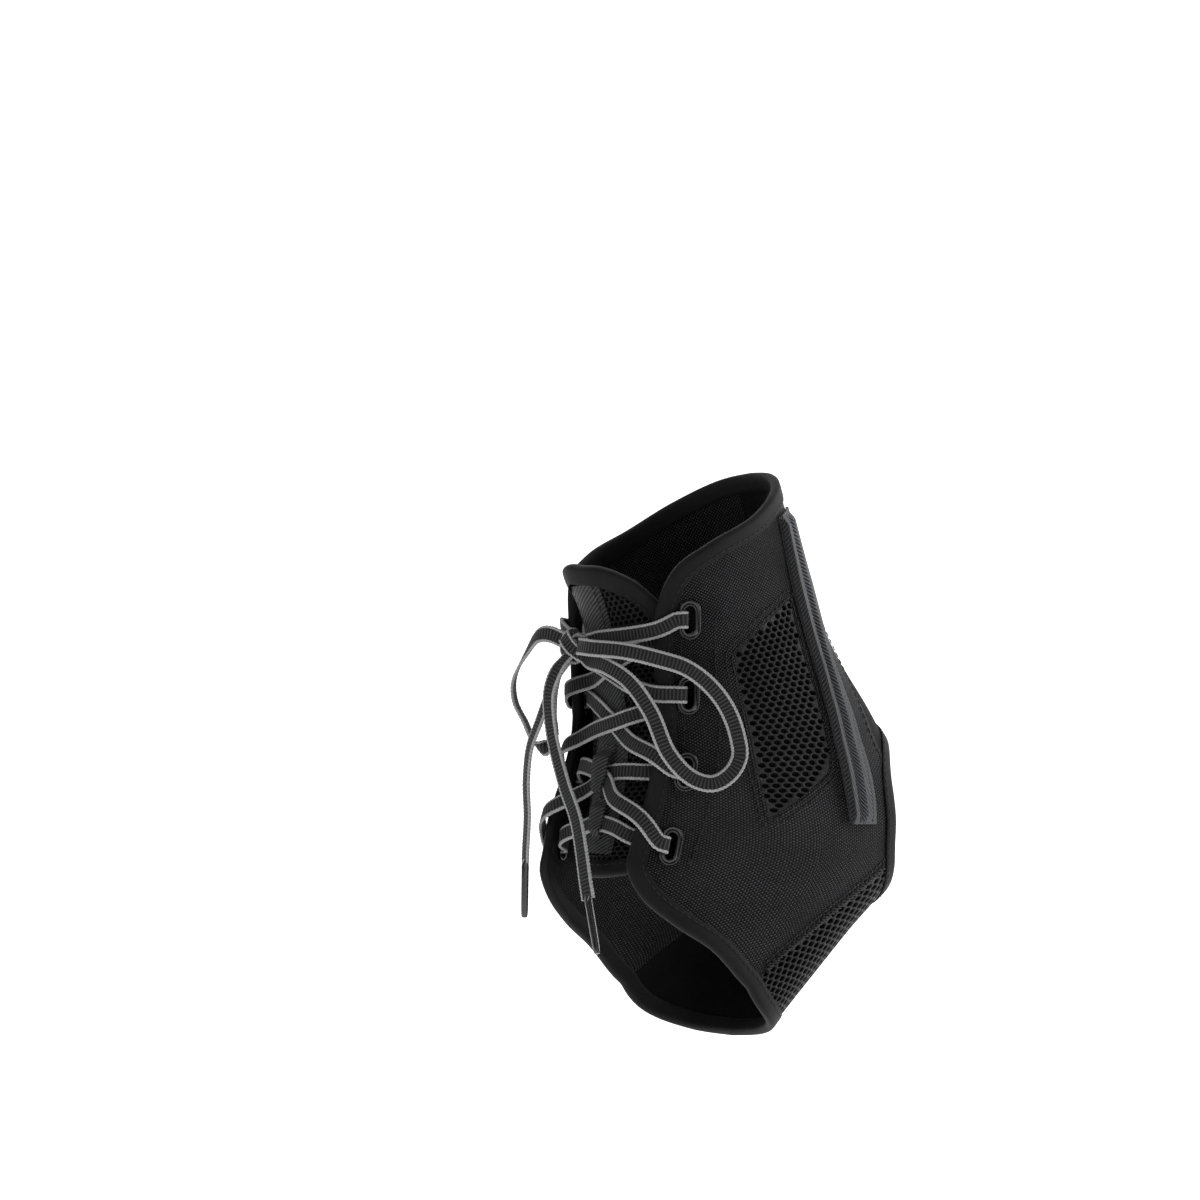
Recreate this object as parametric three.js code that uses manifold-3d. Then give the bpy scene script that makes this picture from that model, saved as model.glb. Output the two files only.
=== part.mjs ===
// Lace-up ankle brace, as worn on a leg that leans forward over a raised heel.
// Millimetres. +Z is up, the toes point to -Y, and +X is the wearer's left.
// The origin is the middle of the ankle, between the two ankle bones.
//
// The brace is shaped over an ankle form. A place on the form is (station, turn): station counts
// down the leg and out along the foot, and turn is degrees round from the front, positive to the
// left. Lift is the distance out from the form, so layers are stacked by their lifts.
import * as THREE from "three";
import { mergeVertices } from "three/addons/utils/BufferGeometryUtils.js";
import Module from "manifold-3d";

const wasm = await Module();
wasm.setup();

// The ankle that the brace is made for
const ankleDepth = 90; // front to back, above the ankle bones
const ankleWidth = 76; // side to side, above the ankle bones
const braceHeight = 180; // top of the leg part to the underside of the foot
const legLean = 26; // degrees, forward

// Cloth layers
const clothThickness = 2.0; // laminated side panels
const meshThickness = 1.3; // spacer mesh of the inserts
const soleThickness = 2.0; // spacer mesh under the foot
const gap = 0.3; // between pieces that touch
const foldGap = 0.5; // between cloth and the tape folded over its edge
const bindingWidth = 6.5; // how far the edge tape reaches in over the cloth
const bindingThickness = 0.8;
const bindingFold = 1.1; // from the folded edge to the space for the cloth
const heelBindingWidth = 6;
const pocketThickness = 1.1; // tape that holds the stays
const stayRise = 1.7; // how far a stay pushes its tape out
const lowerFlareLeft = 4; // how far the panels stand off at their lower front corners
const lowerFlareRight = 8;
const rightFrontShift = 6; // degrees that the right front edge is drawn further round

// Tongue
const tongueDrop = 4.4; // outer face of the tongue, in from the form
const tongueUnderPanel = 0.8; // the same along its sides, where it meets the panels
const tongueFold = 0.7;
const tongueThickness = 2.8;
const stripThickness = 0.6;
const stripHalfWidth = 9.5;
const tongueBindingWidth = 7;
const tongueHemWidth = 5.5;
const keeperWidth = 7.5;
const keeperThickness = 0.9;

// Eyelets
const eyeletHoleWidth = 3.6;
const eyeletHoleLength = 9.6;
const eyeletWall = 0.6;
const eyeletFlange = 1.5; // beyond the wall
const eyeletFlangeThickness = 1.0;
const eyeletBelow = 0.6; // how far the wall reaches below the cloth

// Lace
const laceWidth = 6.0;
const laceThickness = 1.2;
const laceUnder = -2.9; // its lift under the panels
const agletDiameter = 2.6;
const agletLength = 19;
const knotWidth = 13;
const knotHeight = 11;
const knotDepth = 8;
const knotGap = 0.25; // beyond the knot's round form

// One row for each station of the brace's outer face, as shares of the three ankle sizes: the front
// and the back point of the section (forward, up), its half width, where along it the widest place
// is, and how square each half is.
const sections = [
  {
    frontForward: 0.478, frontUp: 0.522, backForward: -0.478, backUp: 0.533,
    half: 0.5, widest: 0.5, frontSquare: 2.1, backSquare: 2.1,
  },
  {
    frontForward: 0.511, frontUp: 0.4, backForward: -0.456, backUp: 0.367,
    half: 0.487, widest: 0.5, frontSquare: 2.1, backSquare: 2.1,
  },
  {
    frontForward: 0.567, frontUp: 0.289, backForward: -0.433, backUp: 0.2,
    half: 0.487, widest: 0.5, frontSquare: 2.1, backSquare: 2.1,
  },
  {
    frontForward: 0.644, frontUp: 0.189, backForward: -0.422, backUp: 0.033,
    half: 0.513, widest: 0.5, frontSquare: 2.1, backSquare: 2.2,
  },
  {
    frontForward: 0.744, frontUp: 0.089, backForward: -0.489, backUp: -0.144,
    half: 0.526, widest: 0.5, frontSquare: 2.1, backSquare: 2.3,
  },
  {
    frontForward: 0.867, frontUp: 0, backForward: -0.533, backUp: -0.322,
    half: 0.5, widest: 0.52, frontSquare: 2.1, backSquare: 2.4,
  },
  {
    frontForward: 0.989, frontUp: -0.078, backForward: -0.378, backUp: -0.433,
    half: 0.474, widest: 0.58, frontSquare: 2.1, backSquare: 2.5,
  },
  {
    frontForward: 1.122, frontUp: -0.156, backForward: 0.044, backUp: -0.492,
    half: 0.474, widest: 0.62, frontSquare: 2.1, backSquare: 2.6,
  },
  {
    frontForward: 1.278, frontUp: -0.233, backForward: 0.456, backUp: -0.55,
    half: 0.487, widest: 0.64, frontSquare: 2.1, backSquare: 2.6,
  },
  {
    frontForward: 1.444, frontUp: -0.311, backForward: 0.844, backUp: -0.606,
    half: 0.5, widest: 0.64, frontSquare: 2.1, backSquare: 2.6,
  },
];

// Outlines as [station, turn], for the left side or from top to bottom
const rimAndFront = [
  [0.72, 180], [0.74, 155], [0.84, 128], [0.97, 102], [1.05, 74], [1.25, 54], [1.75, 42.5], [2.6, 37],
  [3.8, 35], [5.0, 31.5], [5.8, 28.8], [6.38, 29], [6.88, 37.5], [7.28, 53], [7.56, 69], [7.96, 88],
  [8.24, 113], [8.36, 145], [8.4, 180],
];
const heelOpening = [
  [4.2, 180], [4.27, 155], [4.45, 138], [4.75, 129.5], [5.3, 127], [5.8, 128], [6.15, 136],
  [6.38, 152], [6.48, 180],
];
const gussetSeam = [[0.3, 170], [0.9, 168], [2.2, 160], [2.9, 150], [3.7, 136], [4.3, 130.5], [4.9, 132]];
const soleSeam = [
  [5.9, 130], [6.21, 123.5], [6.61, 115.5], [7.06, 107.2], [7.48, 98], [7.8, 92.5], [8.9, 74],
];
const meshWindow = [
  [2.18, 112.5], [2.4, 93], [2.76, 73], [3.5, 71.4], [4.3, 71], [5.38, 73.6], [4.98, 86.5],
  [4.62, 99], [4.42, 101.6], [3.9, 104.4], [3.39, 107.4], [2.76, 110.3],
];
// The stay pocket, one row for each station: its front edge and its rear edge
const stayPocket = [
  { station: 1.14, front: 122.5, rear: 147 },
  { station: 2.1, front: 116.5, rear: 142 },
  { station: 3.1, front: 113, rear: 129.5 },
  { station: 3.6, front: 109, rear: 124 },
  { station: 4.2, front: 105.5, rear: 119.5 },
  { station: 4.86, front: 103, rear: 116.5 },
  { station: 5.45, front: 102.5, rear: 115 },
];
const stays = [{ across: 0.17, width: 0.26 }, { across: 0.58, width: 0.34 }];
const tongueOutline = [
  [0.86, 0], [0.93, 14], [1.22, 30], [1.7, 44], [2.1, 57], [2.6, 68], [3.4, 73], [4.4, 72], [5.4, 66],
  [6.1, 52], [6.4, 28], [6.46, 0],
];
const tongueRise = { from: 62, to: 69 }; // turns over which the tongue rises to meet the panels
const tongueTop = { rise: 6.5, from: 0.8, to: 2.35 }; // how far its top stands forward, over stations
const tongueStrip = [
  { station: 1.38, middle: -7.5 },
  { station: 2.1, middle: -4 },
  { station: 3.4, middle: 3 },
  { station: 4.6, middle: 4 },
  { station: 6.0, middle: 2 },
];
const tongueTopLean = 0.14; // how much higher the right half of its top is, in stations
const eyeletPlaces = [[2.08, 56.5], [3.28, 50], [4.53, 45.8], [5.9, 42]];
const tongueTapeTurn = 46; // how far round the tapes over the tongue's ends go
const keepers = [
  { name: "lace_keeper_upper", from: 4.0, to: 4.9, rise: 3.9, riseFrom: 4.25, riseTo: 4.83 },
  { name: "lace_keeper_lower", from: 4.94, to: 5.72, rise: 1.9, riseFrom: 5.14, riseTo: 5.56 },
];
const keeperTurn = 5;
const keeperWaist = 0.62; // its narrowest width, as a share of its full width

// The lace, as [station, turn, lift] between the eyelets. An eyelet is [index, side, above].
const laceRuns = [
  {
    name: "lace_run_bar", from: [3, -1, false], to: [3, 1, false],
    way: [[5.8, -26, -2.8], [5.52, -11, -2.45], [5.42, 5, -2.3], [5.5, 16, -2.45], [5.72, 28, -2.9]],
  },
  {
    name: "lace_run_1", from: [3, 1, true], to: [2, -1, false],
    way: [
      [5.36, 30, 4.6], [4.97, 18, 1.4], [4.6, 8, -0.7], [4.45, -1, -0.8], [4.37, -11, -1.0],
      [4.33, -21, -2.7], [4.4, -31, -2.9],
    ],
  },
  {
    name: "lace_run_2", from: [3, -1, true], to: [2, 1, false],
    way: [
      [5.35, -24, 4.6], [4.98, -15, 1.6], [4.7, -6, -2.2], [4.56, 0, -2.35], [4.48, 8, -2.35],
      [4.46, 20, -2.8], [4.5, 34, -2.9],
    ],
  },
  {
    name: "lace_run_3", from: [2, 1, true], to: [1, -1, false],
    way: [
      [4.22, 33, 4.6], [4.04, 25, 0.9], [3.84, 16, -2.4], [3.54, 5, -2.45], [3.3, -7, -2.35],
      [3.2, -18, -2.8], [3.18, -30, -2.9],
    ],
  },
  {
    name: "lace_run_4", from: [2, -1, true], to: [1, 1, false],
    way: [
      [4.12, -27, 4.6], [3.88, -16, 1.2], [3.74, -6, -0.6], [3.68, 2, -0.8], [3.62, 11, -0.8],
      [3.54, 20, -1.3], [3.48, 28, -2.7], [3.38, 38, -2.9],
    ],
  },
  {
    name: "lace_run_5", from: [1, 1, true], to: [0, -1, false],
    way: [
      [3.2, 36, 4.6], [3.04, 25, 1.4], [2.84, 14, -0.7], [2.68, 5, -0.8], [2.54, -5, -0.9], [2.4, -14, -1.9],
      [2.29, -21, -2.35], [2.2, -29, -2.9],
    ],
  },
  {
    name: "lace_run_6", from: [1, -1, true], to: [0, 1, false],
    way: [
      [3.05, -30, 4.6], [2.94, -20, 1.0], [2.86, -11, -2.4], [2.72, 0, -2.35], [2.6, 9, -2.35],
      [2.45, 22, -2.8], [2.28, 42, -2.9],
    ],
  },
  {
    name: "lace_run_left", from: [0, 1, true], to: null,
    way: [[2.12, 42, 4.7], [2.13, 28, 3.2], [2.12, 16, 2.2], [2.12, 7, 2.0]],
  },
  {
    name: "lace_run_right", from: [0, -1, true], to: null,
    way: [[1.92, -36, 4.7], [2.02, -29, 2.8], [2.1, -23, 1.9]],
  },
];
const knotPlace = [2.22, -7.7, 4.6];

// Chosen points of the free lace, and the way that its flat faces from end to end
const freeLaces = [
  {
    name: "lace_loop_left",
    ends: 2,
    points: [
      [4.6, -76.0, 19.4], [11.4, -76.5, 18.6], [23, -70.6, 17.2], [31.5, -62.4, 14.4],
      [37.3, -54.6, 11.2], [41.2, -47.4, 5.2], [43.2, -41.4, -2.7], [44.0, -37.6, -11.9],
      [43.8, -36.4, -19.3], [42.2, -39.3, -25.3], [38.8, -44.2, -28.6], [35.6, -51.2, -26.6],
      [32.8, -59.0, -18.3], [29.8, -64.5, -4.1], [23.8, -69.5, 6.7], [14.6, -72.8, 12.4],
      [4.0, -71.6, 14.6],
    ],
    faces: [[0.1, -1, 0.1], [0.5, -0.85, 0.1], [0.85, -0.5, 0], [0.7, -0.7, 0], [0.1, -1, 0.1]],
  },
  {
    name: "lace_loop_right",
    ends: 2,
    points: [
      [-14.6, -74.6, 24.4], [-20.5, -75.5, 24.4], [-27.7, -75.2, 19.2], [-34.4, -76.4, 9.0],
      [-35.3, -75.3, 1.5], [-32.7, -72.7, -6.1], [-30.1, -70.2, -13.7], [-26.2, -68.2, -15.3],
      [-22.1, -66.3, -13.6], [-20.6, -68.4, -3.3], [-19.0, -69.4, 5.4], [-14.8, -70.2, 13.4],
    ],
    faces: [[-0.3, -1, 0.2], [-0.7, -0.7, 0], [-0.8, -0.6, 0], [-0.6, -0.8, 0], [-0.2, -1, 0.1]],
  },
  {
    name: "lace_end_left",
    ends: 1,
    points: [
      [-6.2, -78.0, 12.0], [-9.0, -79.6, 4.0], [-8.8, -79.0, -9.0], [-1.0, -79.0, -28.5], [7.3, -79.9, -41.4],
      [16.4, -82.4, -64.0], [17.5, -82.3, -68.5],
    ],
    faces: [[0, -1, -0.3], [0.1, -1, 0], [0.2, -1, 0]],
  },
  {
    name: "lace_end_right",
    ends: 1,
    points: [
      [-12.2, -73.6, 10.6], [-15.0, -75.4, 3.0], [-18.5, -77.2, -6.6], [-21.4, -79.0, -15.5],
      [-22.6, -79.6, -27.7], [-22.0, -79.6, -39.6], [-22.2, -80.2, -52.6], [-22.3, -80.2, -56.0],
    ],
    faces: [[-0.2, -1, 0], [-0.3, -1, 0], [-0.3, -1, 0]],
  },
];

const colours = {
  woven: 0x1b1b1d,
  mesh: 0x121214,
  binding: 0x222224,
  tape: 0x2a2b2f,
  strip: 0x29292b,
  eyelet: 0x18181a,
  lace: 0x232325,
  aglet: 0x151517,
};

// Smooth steps and curves
const radians = (degrees) => (degrees * Math.PI) / 180;
const mix = (a, b, share) => a + (b - a) * share;
const clamp01 = (x) => Math.min(1, Math.max(0, x));
function ease(from, to, x) {
  const t = clamp01((x - from) / (to - from));
  return t * t * (3 - 2 * t);
}

// The section at a station, smoothed through the rows
function sectionAt(station) {
  const last = sections.length - 1;
  const s = Math.min(last, Math.max(0, station));
  const i = Math.min(Math.floor(s), last - 1);
  const t = s - i;
  const made = {};
  for (const column of Object.keys(sections[0])) {
    const p1 = sections[i][column];
    const p2 = sections[i + 1][column];
    const p0 = i > 0 ? sections[i - 1][column] : 2 * p1 - p2;
    const p3 = i < last - 1 ? sections[i + 2][column] : 2 * p2 - p1;
    made[column] =
      0.5 * (2 * p1 + (p2 - p0) * t + (2 * p0 - 5 * p1 + 4 * p2 - p3) * t * t
        + (3 * p1 - p0 - 3 * p2 + p3) * t ** 3);
  }
  return made;
}

// From the leg's own directions to the row's
function fromLeg(left, forward, up) {
  const lean = radians(legLean);
  return new THREE.Vector3(
    left,
    -forward * Math.cos(lean) - up * Math.sin(lean),
    -forward * Math.sin(lean) + up * Math.cos(lean),
  );
}

// A point on the form, which lies a cloth thickness inside the outer face
function onForm(station, turn) {
  const row = sectionAt(station);
  const c = Math.cos(radians(turn));
  const s = Math.sin(radians(turn));
  const square = c > 0 ? row.frontSquare : row.backSquare;
  const q = (Math.abs(c) ** square + Math.abs(s) ** square) ** (-1 / square);
  const front = new THREE.Vector2(row.frontForward * ankleDepth, row.frontUp * braceHeight);
  const back = new THREE.Vector2(row.backForward * ankleDepth, row.backUp * braceHeight);
  const depth = front.distanceTo(back);
  const along = row.widest - (c > 0 ? row.widest : 1 - row.widest) * c * q;
  const p = front.lerp(back, mix(clothThickness / depth, 1 - clothThickness / depth, along));
  return fromLeg((row.half * ankleWidth - clothThickness) * s * q, p.x, p.y);
}

// How far the panels stand off the form, at their lower front corners
function flareAt(station, turn) {
  const fromFront = turn > 180 ? turn - 360 : turn;
  const side = fromFront > 0 ? lowerFlareLeft : lowerFlareRight;
  const away = Math.abs(fromFront);
  const down = side * ease(3.4, 5.7, station) * (1 - ease(6.3, 7.6, station));
  return down * (1 - ease(20, 76, away)) * ease(8, 26, away);
}

const stationStep = 0.02;
const turnStep = 0.5; // degrees

// The two tangents at a place, per station and per degree, and the outward normal
function tangentsOf(surface, station, turn) {
  const down = surface(station + stationStep, turn).sub(surface(station - stationStep, turn));
  const round = surface(station, turn + turnStep).sub(surface(station, turn - turnStep));
  down.divideScalar(2 * stationStep);
  round.divideScalar(2 * turnStep);
  return { down, round, out: down.clone().cross(round).normalize() };
}

// The form as the panels see it, with their lower front corners standing off
function flared(station, turn) {
  const flare = flareAt(station, turn);
  const point = onForm(station, turn);
  return flare === 0 ? point : point.addScaledVector(tangentsOf(onForm, station, turn).out, flare);
}

// A point at a lift over the form, for a panel's layer or for a layer of the tongue
function place(station, turn, lift, surface = flared) {
  return surface(station, turn).addScaledVector(tangentsOf(surface, station, turn).out, lift);
}

// The place reached from [station, turn] by going a distance along a direction on the surface
function walk([station, turn], direction, distance, surface = flared) {
  const { down, round } = tangentsOf(surface, station, turn);
  const e = down.dot(down);
  const f = down.dot(round);
  const g = round.dot(round);
  const a = direction.dot(down) * distance;
  const b = direction.dot(round) * distance;
  const det = e * g - f * f;
  return [station + (a * g - b * f) / det, turn + (b * e - a * f) / det];
}

// A closed curve through both halves of a symmetric outline, as [station, turn] about a middle turn
function bothSides(half, middle) {
  const mirrored = half.slice(1, -1).reverse().map(([station, turn]) => [station, 2 * middle - turn]);
  return [...half, ...mirrored];
}

function smooth(points, count, closed) {
  const curve = new THREE.CatmullRomCurve3(
    points.map(([station, turn]) => (
      new THREE.Vector3(station * flatStation * downwardSteps, turn * flatTurn, 0)
    )),
    closed,
    "centripetal",
  );
  const made = curve.getSpacedPoints(count).map((p) => [p.x / flatStation / downwardSteps, p.y / flatTurn]);
  return closed ? made.slice(0, -1) : made;
}

// Nominal millimetres per station and per degree, for laying outlines out flat
const flatStation = 27;
const flatTurn = 0.68;
const downwardSteps = 0.65; // steps along the leg are longer than steps round it, by this share

// A loop moved inward by a distance measured on the form. Positive moves to the loop's left.
function inset(loop, distance, surface = flared) {
  return loop.map((here, i) => {
    const before = loop[(i + loop.length - 1) % loop.length];
    const after = loop[(i + 1) % loop.length];
    const { out } = tangentsOf(surface, ...here);
    const along = surface(...after).sub(surface(...before));
    return walk(here, out.clone().cross(along).normalize(), distance, surface);
  });
}

const flatPoint = ([station, turn]) => new THREE.Vector2(turn * flatTurn, -station * flatStation);

function solidOf(geometry) {
  const bare = geometry.clone();
  bare.deleteAttribute("normal");
  bare.deleteAttribute("uv");
  const merged = mergeVertices(bare, 1e-4);
  return new wasm.Manifold(
    new wasm.Mesh({
      numProp: 3,
      vertProperties: new Float32Array(merged.attributes.position.array),
      triVerts: new Uint32Array(merged.index.array),
    }),
  );
}

function geometryOf(solid) {
  const mesh = solid.getMesh();
  const positions = new Float32Array(mesh.numVert * 3);
  for (let i = 0; i < mesh.numVert; i++)
    positions.set(mesh.vertProperties.subarray(i * mesh.numProp, i * mesh.numProp + 3), i * 3);
  const geometry = new THREE.BufferGeometry();
  geometry.setAttribute("position", new THREE.BufferAttribute(positions, 3));
  geometry.setIndex(new THREE.BufferAttribute(mesh.triVerts, 1));
  return geometry;
}

// A straight-sided block over a flat outline, for cutting laid-out cloth
const blockHeight = 150;
function block(loop) {
  const shape = new THREE.Shape(loop.map(flatPoint));
  const geometry = new THREE.ExtrudeGeometry(shape, { depth: 2 * blockHeight, bevelEnabled: false });
  geometry.translate(0, 0, -blockHeight);
  return solidOf(geometry);
}

// A sheet of cloth. It is cut out flat, with its grid bowed a little so that the cuts keep every
// grid point, and is then laid over the form between two lifts.
const flatBow = 0.0006;
const bowAt = (x, y) => flatBow * (x * x + y * y);
function sheet({ within, without = [], low, high, cell = 7, surface = flared }) {
  const corners = within[0].map(flatPoint);
  const box = new THREE.Box2().setFromPoints(corners);
  const size = box.getSize(new THREE.Vector2()).addScalar(2);
  const centre = box.getCenter(new THREE.Vector2());
  const slab = new THREE.BoxGeometry(
    size.x, size.y, 1, Math.ceil(size.x / cell), Math.ceil((size.y * downwardSteps) / cell), 1,
  );
  slab.translate(centre.x, centre.y, 0);
  const at = slab.attributes.position;
  for (let i = 0; i < at.count; i++) at.setZ(i, at.getZ(i) + bowAt(at.getX(i), at.getY(i)));
  let solid = solidOf(slab);
  for (const loop of within) solid = solid.intersect(block(loop));
  for (const loop of without) solid = solid.subtract(block(loop));
  const geometry = geometryOf(solid);
  const cut = geometry.attributes.position;
  for (let i = 0; i < cut.count; i++) {
    const [x, y, z] = [cut.getX(i), cut.getY(i), cut.getZ(i)];
    const station = -y / flatStation;
    const turn = x / flatTurn;
    const share = clamp01(z - bowAt(x, y) + 0.5);
    const [inner, outer] = [low, high].map((lift) => liftOf(lift, [station, turn]));
    const p = place(station, turn, mix(inner, outer, share), surface);
    cut.setXYZ(i, p.x, p.y, p.z);
  }
  return geometry;
}

// A closed body swept through rings of points. Each ring runs the same way round.
function sweep(rings, closed) {
  const sides = rings[0].length;
  const positions = rings.flat().flatMap((p) => [p.x, p.y, p.z]);
  const index = [];
  const steps = closed ? rings.length : rings.length - 1;
  for (let i = 0; i < steps; i++) {
    const next = (i + 1) % rings.length;
    for (let j = 0; j < sides; j++) {
      const k = (j + 1) % sides;
      const [a, b, c, d] = [i * sides + j, i * sides + k, next * sides + k, next * sides + j];
      index.push(a, b, c, a, c, d);
    }
  }
  if (!closed) {
    const end = (rings.length - 1) * sides;
    for (let j = 1; j < sides - 1; j++) {
      index.push(0, j + 1, j);
      index.push(end, end + j, end + j + 1);
    }
  }
  const geometry = new THREE.BufferGeometry();
  geometry.setAttribute("position", new THREE.Float32BufferAttribute(positions, 3));
  geometry.setIndex(index);
  const solid = solidOf(geometry);
  if (solid.volume() >= 0) return geometry;
  for (let i = 0; i < index.length; i += 3) [index[i + 1], index[i + 2]] = [index[i + 2], index[i + 1]];
  geometry.setIndex(index);
  return geometry;
}

const liftOf = (lift, place) => (typeof lift === "function" ? lift(...place) : lift);

// Tape folded over the edge that runs along a line, with the cloth in its fold. The cloth is on the
// side that a positive inset moves to.
function binding(line, { low, high, width, fold, closed = true, surface = flared }) {
  const reach = foldGap + bindingThickness;
  const section = [
    [width, 1, reach], [0, 1, reach], [0, -1, reach], [width, -1, reach],
    [width, -1, foldGap], [fold, -1, foldGap], [fold, 1, foldGap], [width, 1, foldGap],
  ];
  const last = line.length - 1;
  const rings = line.map((here, i) => {
    const before = line[i > 0 ? i - 1 : closed ? last : 0];
    const after = line[i < last ? i + 1 : closed ? 0 : last];
    const { out } = tangentsOf(surface, ...here);
    const way = out.clone().cross(surface(...after).sub(surface(...before))).normalize();
    return section.map(([distance, face, above]) => {
      const there = walk(here, way, distance, surface);
      return place(...there, liftOf(face > 0 ? high : low, there) + face * above, surface);
    });
  });
  return sweep(rings, closed);
}

// A flat lace along points, with the direction of its width at each
const laceSection = [[0.5, 0.5], [-0.5, 0.5], [-0.5, -0.5], [0.5, -0.5]];
function ribbon(points, sides) {
  const rings = points.map((point, i) => {
    const before = points[Math.max(0, i - 1)];
    const after = points[Math.min(points.length - 1, i + 1)];
    const along = after.clone().sub(before).normalize();
    const side = sides[i].clone().addScaledVector(along, -sides[i].dot(along)).normalize();
    const up = along.clone().cross(side);
    return laceSection.map(([a, b]) =>
      point.clone().addScaledVector(side, a * laceWidth).addScaledVector(up, b * laceThickness),
    );
  });
  return sweep(rings, false);
}

const brace = new THREE.Group();

function add(name, geometry, colour, roughness = 0.85) {
  const material = new THREE.MeshStandardMaterial({ color: colour, roughness, metalness: 0 });
  const mesh = new THREE.Mesh(geometry, material);
  mesh.name = name;
  brace.add(mesh);
  return mesh;
}

// From a left outline to the right one, whose front is drawn further round
const mirror = (points) =>
  points.map(([station, turn]) => {
    const shift = rightFrontShift * ease(1.5, 3, station) * (1 - ease(40, 100, turn));
    return [station, shift - turn];
  });
const throughBack = (points) => points.map(([station, turn]) => [station, 360 - turn]).reverse();

// Whether a loop's inside is on the side that a positive inset moves to
function turnsLeft(loop) {
  let area = 0;
  loop.forEach(([s, t], i) => {
    const [s2, t2] = loop[(i + 1) % loop.length];
    area += t * s2 - t2 * s;
  });
  return area < 0;
}
const inward = (loop, distance, surface) => inset(loop, turnsLeft(loop) ? distance : -distance, surface);

const clothInset = bindingFold + gap; // from a bound edge to the cloth
const frontSteps = 56;
const heelSteps = 42;
const seamShift = gap / 2 / flatTurn;
const leftEdge = smooth(rimAndFront, frontSteps, false);
const rightEdge = mirror(leftEdge);
// The right half of the edge as turns beyond the back middle, and the whole edge round the back
const rightEdgeBeyond = rightEdge.slice(1, -1).reverse().map(([s, t]) => [s, 360 + t]);
const wholeEdge = [...leftEdge, ...rightEdgeBeyond];
const heelEdge = smooth(bothSides(heelOpening, 180), heelSteps, true);

// The eyelet row's direction at each eyelet, and the frame that the eyelet stands in
function eyeletPlace(index, side) {
  const [station, turn] = eyeletPlaces[index];
  return side > 0 ? [station, turn] : mirror([[station, turn]])[0];
}
function eyeletFrame(index, side) {
  const here = eyeletPlace(index, side);
  const before = eyeletPlace(Math.max(0, index - 1), side);
  const after = eyeletPlace(Math.min(eyeletPlaces.length - 1, index + 1), side);
  const { out } = tangentsOf(flared, ...here);
  const along = flared(...after).sub(flared(...before));
  const y = along.addScaledVector(out, -along.dot(out)).normalize();
  const frame = new THREE.Matrix4().makeBasis(y.clone().cross(out).normalize(), y, out);
  return frame.setPosition(flared(...here));
}

function stadium(width, length) {
  const shape = new THREE.Shape();
  const r = width / 2;
  const straight = length / 2 - r;
  shape.absarc(0, straight, r, 0, Math.PI, false);
  shape.absarc(0, -straight, r, Math.PI, 2 * Math.PI, false);
  return shape;
}
function stadiumBlock(width, length, from, to) {
  const geometry = new THREE.ExtrudeGeometry(stadium(width, length), {
    depth: to - from, bevelEnabled: false, curveSegments: 3,
  });
  return solidOf(geometry.translate(0, 0, from));
}

// Side panels, with their mesh windows and eyelet holes
const cutWidth = eyeletHoleWidth + 2 * (eyeletWall + gap);
const cutLength = eyeletHoleLength + 2 * (eyeletWall + gap);
function sidePanel(side, name) {
  const handed = side > 0 ? (loop) => loop : mirror;
  const beyond = [[8.6, 200], [0.5, 200]];
  const edge = inward(side > 0 ? [...leftEdge, ...beyond] : [...rightEdge, ...mirror(beyond)], clothInset);
  const seams = [...smooth(gussetSeam, 20, false), ...smooth(soleSeam, 14, false)];
  const region = [...seams.map(([s, t]) => [s, t - seamShift]), [8.9, 10], [0.3, 10]];
  const heel = inward(heelEdge, -clothInset);
  const cutHeel = side > 0 ? heel : heel.map(([s, t]) => [s, t - 360]);
  let solid = solidOf(
    sheet({
      within: [edge, handed(region)],
      without: [cutHeel, handed(meshWindow)],
      low: 0,
      high: clothThickness,
      cell: 7.2,
    }),
  );
  eyeletPlaces.forEach((_, i) => {
    const cut = geometryOf(stadiumBlock(cutWidth, cutLength, -8, 8)).applyMatrix4(eyeletFrame(i, side));
    solid = solid.subtract(solidOf(cut));
  });
  add(name, geometryOf(solid), colours.woven);
}
sidePanel(1, "side_panel_left");
sidePanel(-1, "side_panel_right");

// Eyelets
const eyeletSeat = clothThickness + gap + 0.15; // clears the curve of the cloth
const eyeletTop = eyeletSeat + eyeletFlangeThickness;
const wallWidth = eyeletHoleWidth + 2 * eyeletWall;
const wallLength = eyeletHoleLength + 2 * eyeletWall;
function eyelet(index, side) {
  const wall = stadiumBlock(wallWidth, wallLength, -eyeletBelow, eyeletSeat + 0.1);
  const flangeWidth = wallWidth + 2 * eyeletFlange;
  const flangeLength = wallLength + 2 * eyeletFlange;
  const flange = stadiumBlock(flangeWidth, flangeLength, eyeletSeat, eyeletTop);
  const hole = stadiumBlock(eyeletHoleWidth, eyeletHoleLength, -5, 7);
  const mesh = add(
    `eyelet_${side > 0 ? "left" : "right"}_${index + 1}`,
    geometryOf(wall.add(flange).subtract(hole)),
    colours.eyelet,
    0.35,
  );
  mesh.applyMatrix4(eyeletFrame(index, side));
}
for (const side of [1, -1]) eyeletPlaces.forEach((_, i) => eyelet(i, side));

// Mesh inserts in the windows, set in a little
for (const [side, name] of [[1, "mesh_insert_left"], [-1, "mesh_insert_right"]]) {
  const loop = inward(meshWindow, gap);
  const low = 0.3;
  add(
    name,
    sheet({ within: [side > 0 ? loop : mirror(loop)], low, high: low + meshThickness, cell: 8 }),
    colours.mesh,
    0.95,
  );
}

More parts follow.
